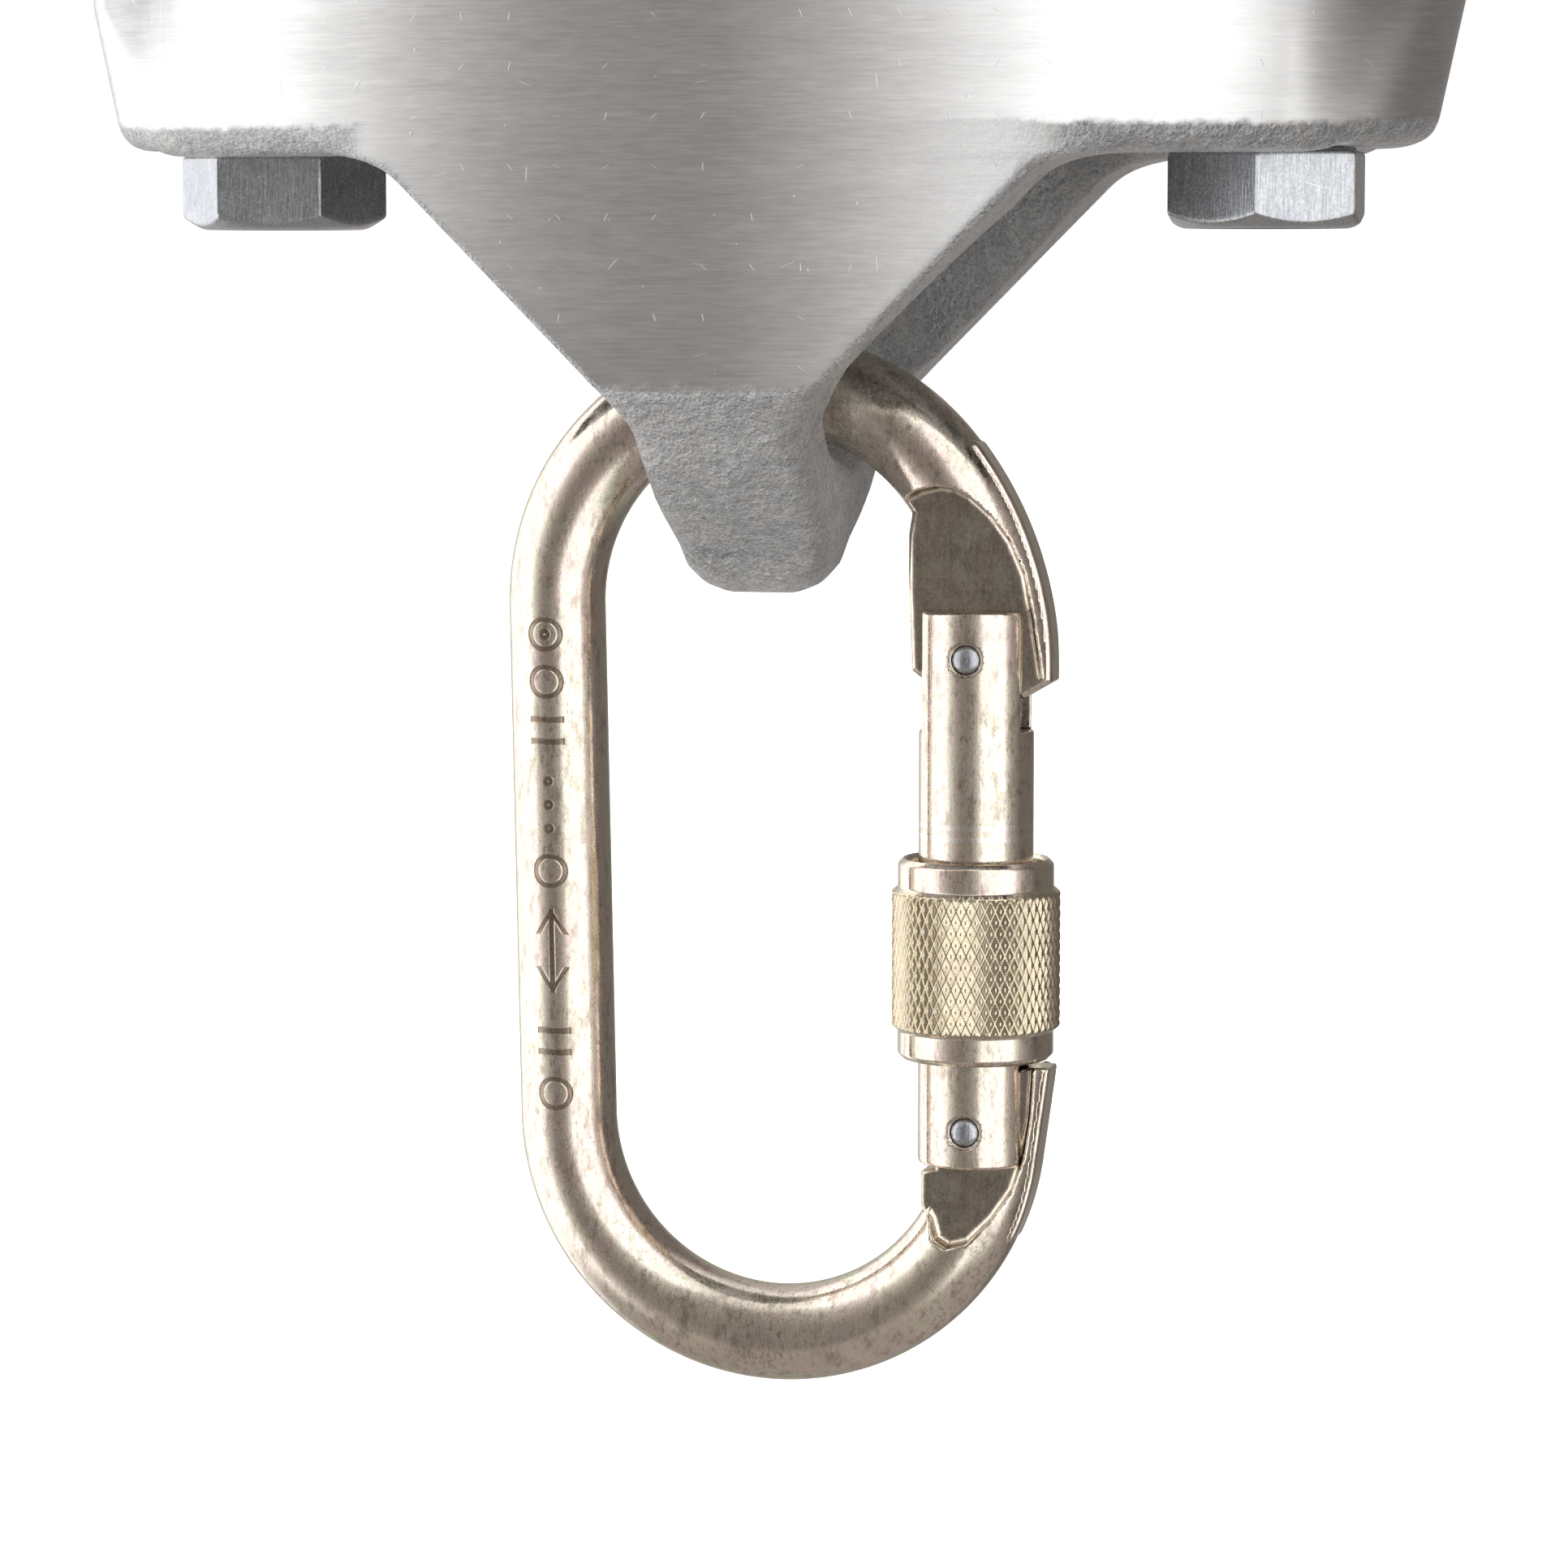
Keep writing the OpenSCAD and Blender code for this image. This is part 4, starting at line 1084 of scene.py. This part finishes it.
def threaded_shank():
    """Closed rod, plain up to THREAD_START and with a helical thread from there."""
    ring_count = int((SHANK_END - THREAD_START) / PITCH * RINGS_PER_TURN)
    heights = [SHANK_START, SHANK_START + 0.5]
    heights += list(np.linspace(SHANK_START + 1.0, THREAD_START, 12))
    heights += list(np.linspace(THREAD_START, SHANK_END, ring_count)[1:])
    count = SHANK_SIDES
    turn = np.linspace(0, 2 * math.pi, count, endpoint=False)
    angle, z = np.meshgrid(turn, np.array(heights))
    phase = ((z - THREAD_START) / PITCH - angle / (2 * math.pi)) % 1.0
    crest = ease(0.12, 0.88, 1 - np.abs(phase - 0.5) * 2)
    run_in = ease(THREAD_START, THREAD_START + 1.6 * PITCH, z)
    r = SHANK_R - 0.02 - 0.61 * PITCH * (1 - crest) * run_in
    chamfer = np.clip((z - (SHANK_END - 1.2)) / 1.2, 0, 1)
    r = np.minimum(r, SHANK_R - 0.02 - 1.15 * chamfer)
    wall = np.stack([r * np.cos(angle), r * np.sin(angle), z], 2).reshape(-1, 3)
    around = np.arange(count)
    last = len(heights) - 1
    faces = [ring_quads(i * count + around, (i + 1) * count + around) for i in range(last)]

    # each cap: two shrinking rings, then quads across the smallest
    points = [wall]
    base = len(wall)
    for first, order in ((0, -1), (last * count, 1)):
        rim = wall[first : first + count]
        outer = first + around
        for shrink in (0.5, 0.02):
            points.append(rim * [shrink, shrink, 1])
            inner = base + around
            base += count
            faces.append(ring_quads(outer, inner)[:, ::order])
            outer = inner
        across = [
            [outer[i], outer[i + 1], outer[count - 2 - i], outer[count - 1 - i]]
            for i in range(count // 2 - 1)
        ]
        faces.append(np.array(across)[:, ::order])
    return np.vstack(points), np.vstack(faces)


head_points, head_quads, _ = surface(
    head_distance, (-11.2, -11.2, -8.4), (11.2, 11.2, 0.1), 0.22
)
shank_points, shank_quads = threaded_shank()
bolt_quads = np.vstack([head_quads, shank_quads + len(head_points)])
# side, place, and how far the head is turned in degrees
for side, bolt_x, turn in (("left", -BOLT_X, 9.5), ("right", BOLT_X, 33.0)):
    cos, sin = math.cos(math.radians(turn)), math.sin(math.radians(turn))
    rotation = np.array([[cos, -sin, 0], [sin, cos, 0], [0, 0, 1]])
    bolt_points = np.vstack([head_points @ rotation.T, shank_points]) + [bolt_x, 0, 0]
    bolt = mesh_object("hex_bolt_" + side, bolt_points, bolt_quads)
    sharpen_edges(bolt, 32)
    dress(bolt, CLEAR, "bolt_" + side, "clamp_bolt_" + side)

# ------------------------------------------------------------------ claws

# (x, z) side view of the right claw, z from the bearing face
CLAW_SIDE = [
    (30, 12), (60, 12), (60, -5.95), (72, -5.95), (72, 22), (66, 28), (38, 28), (30, 21),
]
CLAW_ROUND_X = 55  # centre of the round outer end
CLAW_HALF_WIDTH = 17.0
TOOTH_PITCH = 2.6


def claw_distance(x, y, z):
    z = z - BEARING_Z
    from_end = np.hypot(x - CLAW_ROUND_X, y)
    plan = np.where(x > CLAW_ROUND_X, from_end - CLAW_HALF_WIDTH, np.abs(y) - CLAW_HALF_WIDTH)
    d = overlap(polygon(CLAW_SIDE, x, z), np.maximum(plan, 30 - x), 2.0)
    # leg that stands in the casting's pocket
    leg = rounded_rect(x, y, 61.7, 68.3, 7.8, 1.4)
    d = union(d, overlap(leg, np.maximum(-22 - z, z + 2), 0.8), 0.6)
    # shallow teeth under the inner end
    teeth = np.abs(((x - 31.0) % TOOTH_PITCH) - TOOTH_PITCH / 2) - (12.45 - z)
    teeth = np.maximum(np.maximum(teeth, z - 12.45), x - 41.5)
    d = cut(d, np.maximum(teeth, 30.5 - x), 0.15)
    # bolt bore and the nut's hexagon recess
    d = cut(d, np.hypot(x - BOLT_X, y) - BOLT_BORE_R, 0.8)
    return cut(d, np.maximum(hexagon(x - BOLT_X, y, HEX_FLATS + 0.2), 23 - z), 0.5)


points, quads, normals = surface(
    claw_distance, (29.8, -17.2, 13.8), (72.2, 17.2, 64.2), 0.45
)
# the left claw is the right one mirrored, with its faces turned the right way out
for side, mirror, order in (("right", [1, 1, 1], 1), ("left", [-1, 1, 1], -1)):
    node = "clamp_jaw_" + side
    claw = mesh_object(
        "clamp_claw_" + side, points * mirror, quads[:, ::order], normals * mirror, within=node
    )
    dress(claw, FORGED, "jaw_" + side, node)

# ------------------------------------------------------------------ lock nuts

NUT_Z = 23.01  # nut's seat above the bearing face
NUT_HEX_HEIGHT = 10
NYLON_Z = 23.42 + 10.0  # nylon ring's lower end above the bearing face
NYLON_PROFILE = [(6.06, 0), (7.28, 0), (7.28, 2.55), (6.06, 2.55)]  # (r, z)


def nut_distance(x, y, z):
    """Hexagon with a round collar above it. z counts from the nut's seat."""
    r = np.hypot(x, y)
    half = NUT_HEX_HEIGHT / 2
    d = overlap(hexagon(x, y, HEX_FLATS), np.abs(z - half) - half, 0.5)
    # chamfer cones at both ends of the hexagon
    for up in (z, NUT_HEX_HEIGHT - z):
        d = overlap(d, (r - (HEX_FLATS / 2 + 0.1) - up * 1.8) * 0.5, 0.3)
    d = union(d, overlap(r - 8.6, np.maximum(z - 14.0, 9 - z), 2.2), 0.9)
    d = cut(d, r - 6.1, 0.5)
    # groove for the nylon ring
    return cut(d, np.maximum(r - 7.3, np.abs(z - 11.7) - 1.3), 0.1)


nut_points, nut_quads, nut_normals = surface(
    nut_distance, (-11.1, -9.6, -0.1), (11.1, 9.6, 14.1), 0.26
)
nylon_profile = round_corners(NYLON_PROFILE, 0.35, 3)
nylon_profile[:, 1] += NYLON_Z + BEARING_Z
for side, bolt_x in (("left", -BOLT_X), ("right", BOLT_X)):
    points = nut_points + [bolt_x, 0, NUT_Z + BEARING_Z]
    node = "jaw_nut_" + side
    nut = mesh_object("lock_nut_" + side, points, nut_quads, nut_normals, within=node)
    dress(nut, CLEAR, "jaw_" + side, node)
    ring = mesh_object("nylon_lock_ring_" + side, *lathe(nylon_profile, 72, bolt_x))
    sharpen_edges(ring, 50)
    dress(ring, NYLON, "jaw_" + side, "nut_insert_" + side)

# ------------------------------------------------------------------ pieces that keep their CAD shape

for node, mat in (
    ("gate_spring", CLEAR),
    ("spring_plunger", CLEAR),
    ("sleeve_friction_ring", NYLON),
):
    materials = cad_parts[node].data.materials
    materials.clear()
    materials.append(mat)

# ------------------------------------------------------------------ floor, camera and light

FLOOR_Z = -190.0
FLOOR_HALF = 6000
CAMERA_TURN = math.radians(14.0)  # from -y towards +x
CAMERA_DISTANCE = 556
CAMERA_Z = -11.4
TARGET_X, TARGET_Z = 2.1, -66.2

# Light round the object: azimuth in degrees, 0 at the camera and growing to its right, and
# brightness. Soft boxes stand behind on the left and in front on the right.
STUDIO = [
    (-180, 0.55), (-156, 0.70), (-144, 1.65), (-70, 1.75), (-62, 1.35), (-56, 0.80),
    (-46, 0.44), (-34, 0.24), (-20, 0.22), (-8, 0.32), (1, 0.58), (9, 1.55), (55, 1.75),
    (62, 0.80), (72, 0.38), (95, 0.16), (150, 0.20), (180, 0.55),
]
DEGREES = 57.29578  # in a radian


def pale_floor():
    """A glowing floor that neither reflects in the metal nor lights it."""
    mat, graph = new_material("pale_floor")
    cloud = graph.point_and_normal()[0].noise(scale=0.02, rough=0.5)
    color = graph.mix(cloud, (0.985, 0.985, 0.985), (1.0, 1.0, 1.0))
    glow = graph.signal("ShaderNodeEmission", {"Color": color, "Strength": 0.88})
    matte = graph.principled((0.9, 0.9, 0.9), rough=0.8, metallic=0.0)
    shader = graph.signal("ShaderNodeAddShader", {0: glow, 1: matte})
    graph.node("ShaderNodeOutputMaterial", {0: shader})
    corners = [
        (x * FLOOR_HALF, y * FLOOR_HALF, FLOOR_Z) for x, y in ((-1, -1), (1, -1), (1, 1), (-1, 1))
    ]
    floor = mesh_object("pale_floor", corners, [[0, 1, 2, 3]], smooth=False)
    floor.data.materials.append(mat)
    floor.visible_glossy = False
    floor.visible_diffuse = False


def add_camera():
    data = bpy.data.cameras.new("camera")
    data.lens = 122.0124224
    data.sensor_width = 36.0
    data.clip_start = 0.01
    data.clip_end = 50
    camera = link(bpy.data.objects.new("camera", data))
    place = Vector((
        (TARGET_X + CAMERA_DISTANCE * math.sin(CAMERA_TURN)) / 1000,
        -CAMERA_DISTANCE * math.cos(CAMERA_TURN) / 1000,
        (CAMERA_Z - BEARING_Z) / 1000,
    ))
    target = Vector((TARGET_X / 1000, 0, (TARGET_Z - BEARING_Z) / 1000))
    camera.location = place
    camera.rotation_euler = (target - place).to_track_quat("-Z", "Y").to_euler()
    scene.camera = camera


def add_world():
    """Studio light for the object, plain white for the camera."""
    world = bpy.data.worlds.new("studio")
    scene.world = world
    graph = Graph(world)
    direction = graph.signal("ShaderNodeTexCoord", output="Generated")
    inputs = {"Vector": direction, "Angle": -CAMERA_TURN}
    direction = graph.signal("ShaderNodeVectorRotate", inputs, rotation_type="Z_AXIS")
    x, y, z = direction.parts()
    azimuth = x.math("ARCTAN2", y * -1.0) * DEGREES
    elevation = z.math("ARCSINE") * DEGREES
    # the ramp holds half the brightness
    stops = [((degrees + 180) / 360, (level / 2,) * 3) for degrees, level in STUDIO]
    light = azimuth.remap(-180, 180).color_ramp(stops) * 2.0
    # light ceiling, grey table
    light = graph.mix_value(elevation.fade(zero=46, one=70), light, 1.0)
    light = graph.mix_value(elevation.fade(zero=-28, one=-46), light, 0.38)
    # dim parts are slightly warm: less green and blue
    lit = light.fade(zero=0.3, one=0.9)
    green = light * graph.mix_value(lit, 0.93, 1.0)
    blue = light * graph.mix_value(lit, 0.88, 1.0)
    color = graph.combine(light, green, blue)
    studio = graph.signal("ShaderNodeBackground", {"Color": color})
    white = graph.signal("ShaderNodeBackground", {"Color": (1, 1, 1), "Strength": 1.02})
    seen = graph.signal("ShaderNodeLightPath", output="Is Camera Ray")
    graph.node("ShaderNodeOutputWorld", {0: graph.mix_shader(seen, studio, white)})


scene = bpy.context.scene
scene.view_settings.view_transform = "Standard"
scene.view_settings.look = "None"
pale_floor()
add_camera()
add_world()
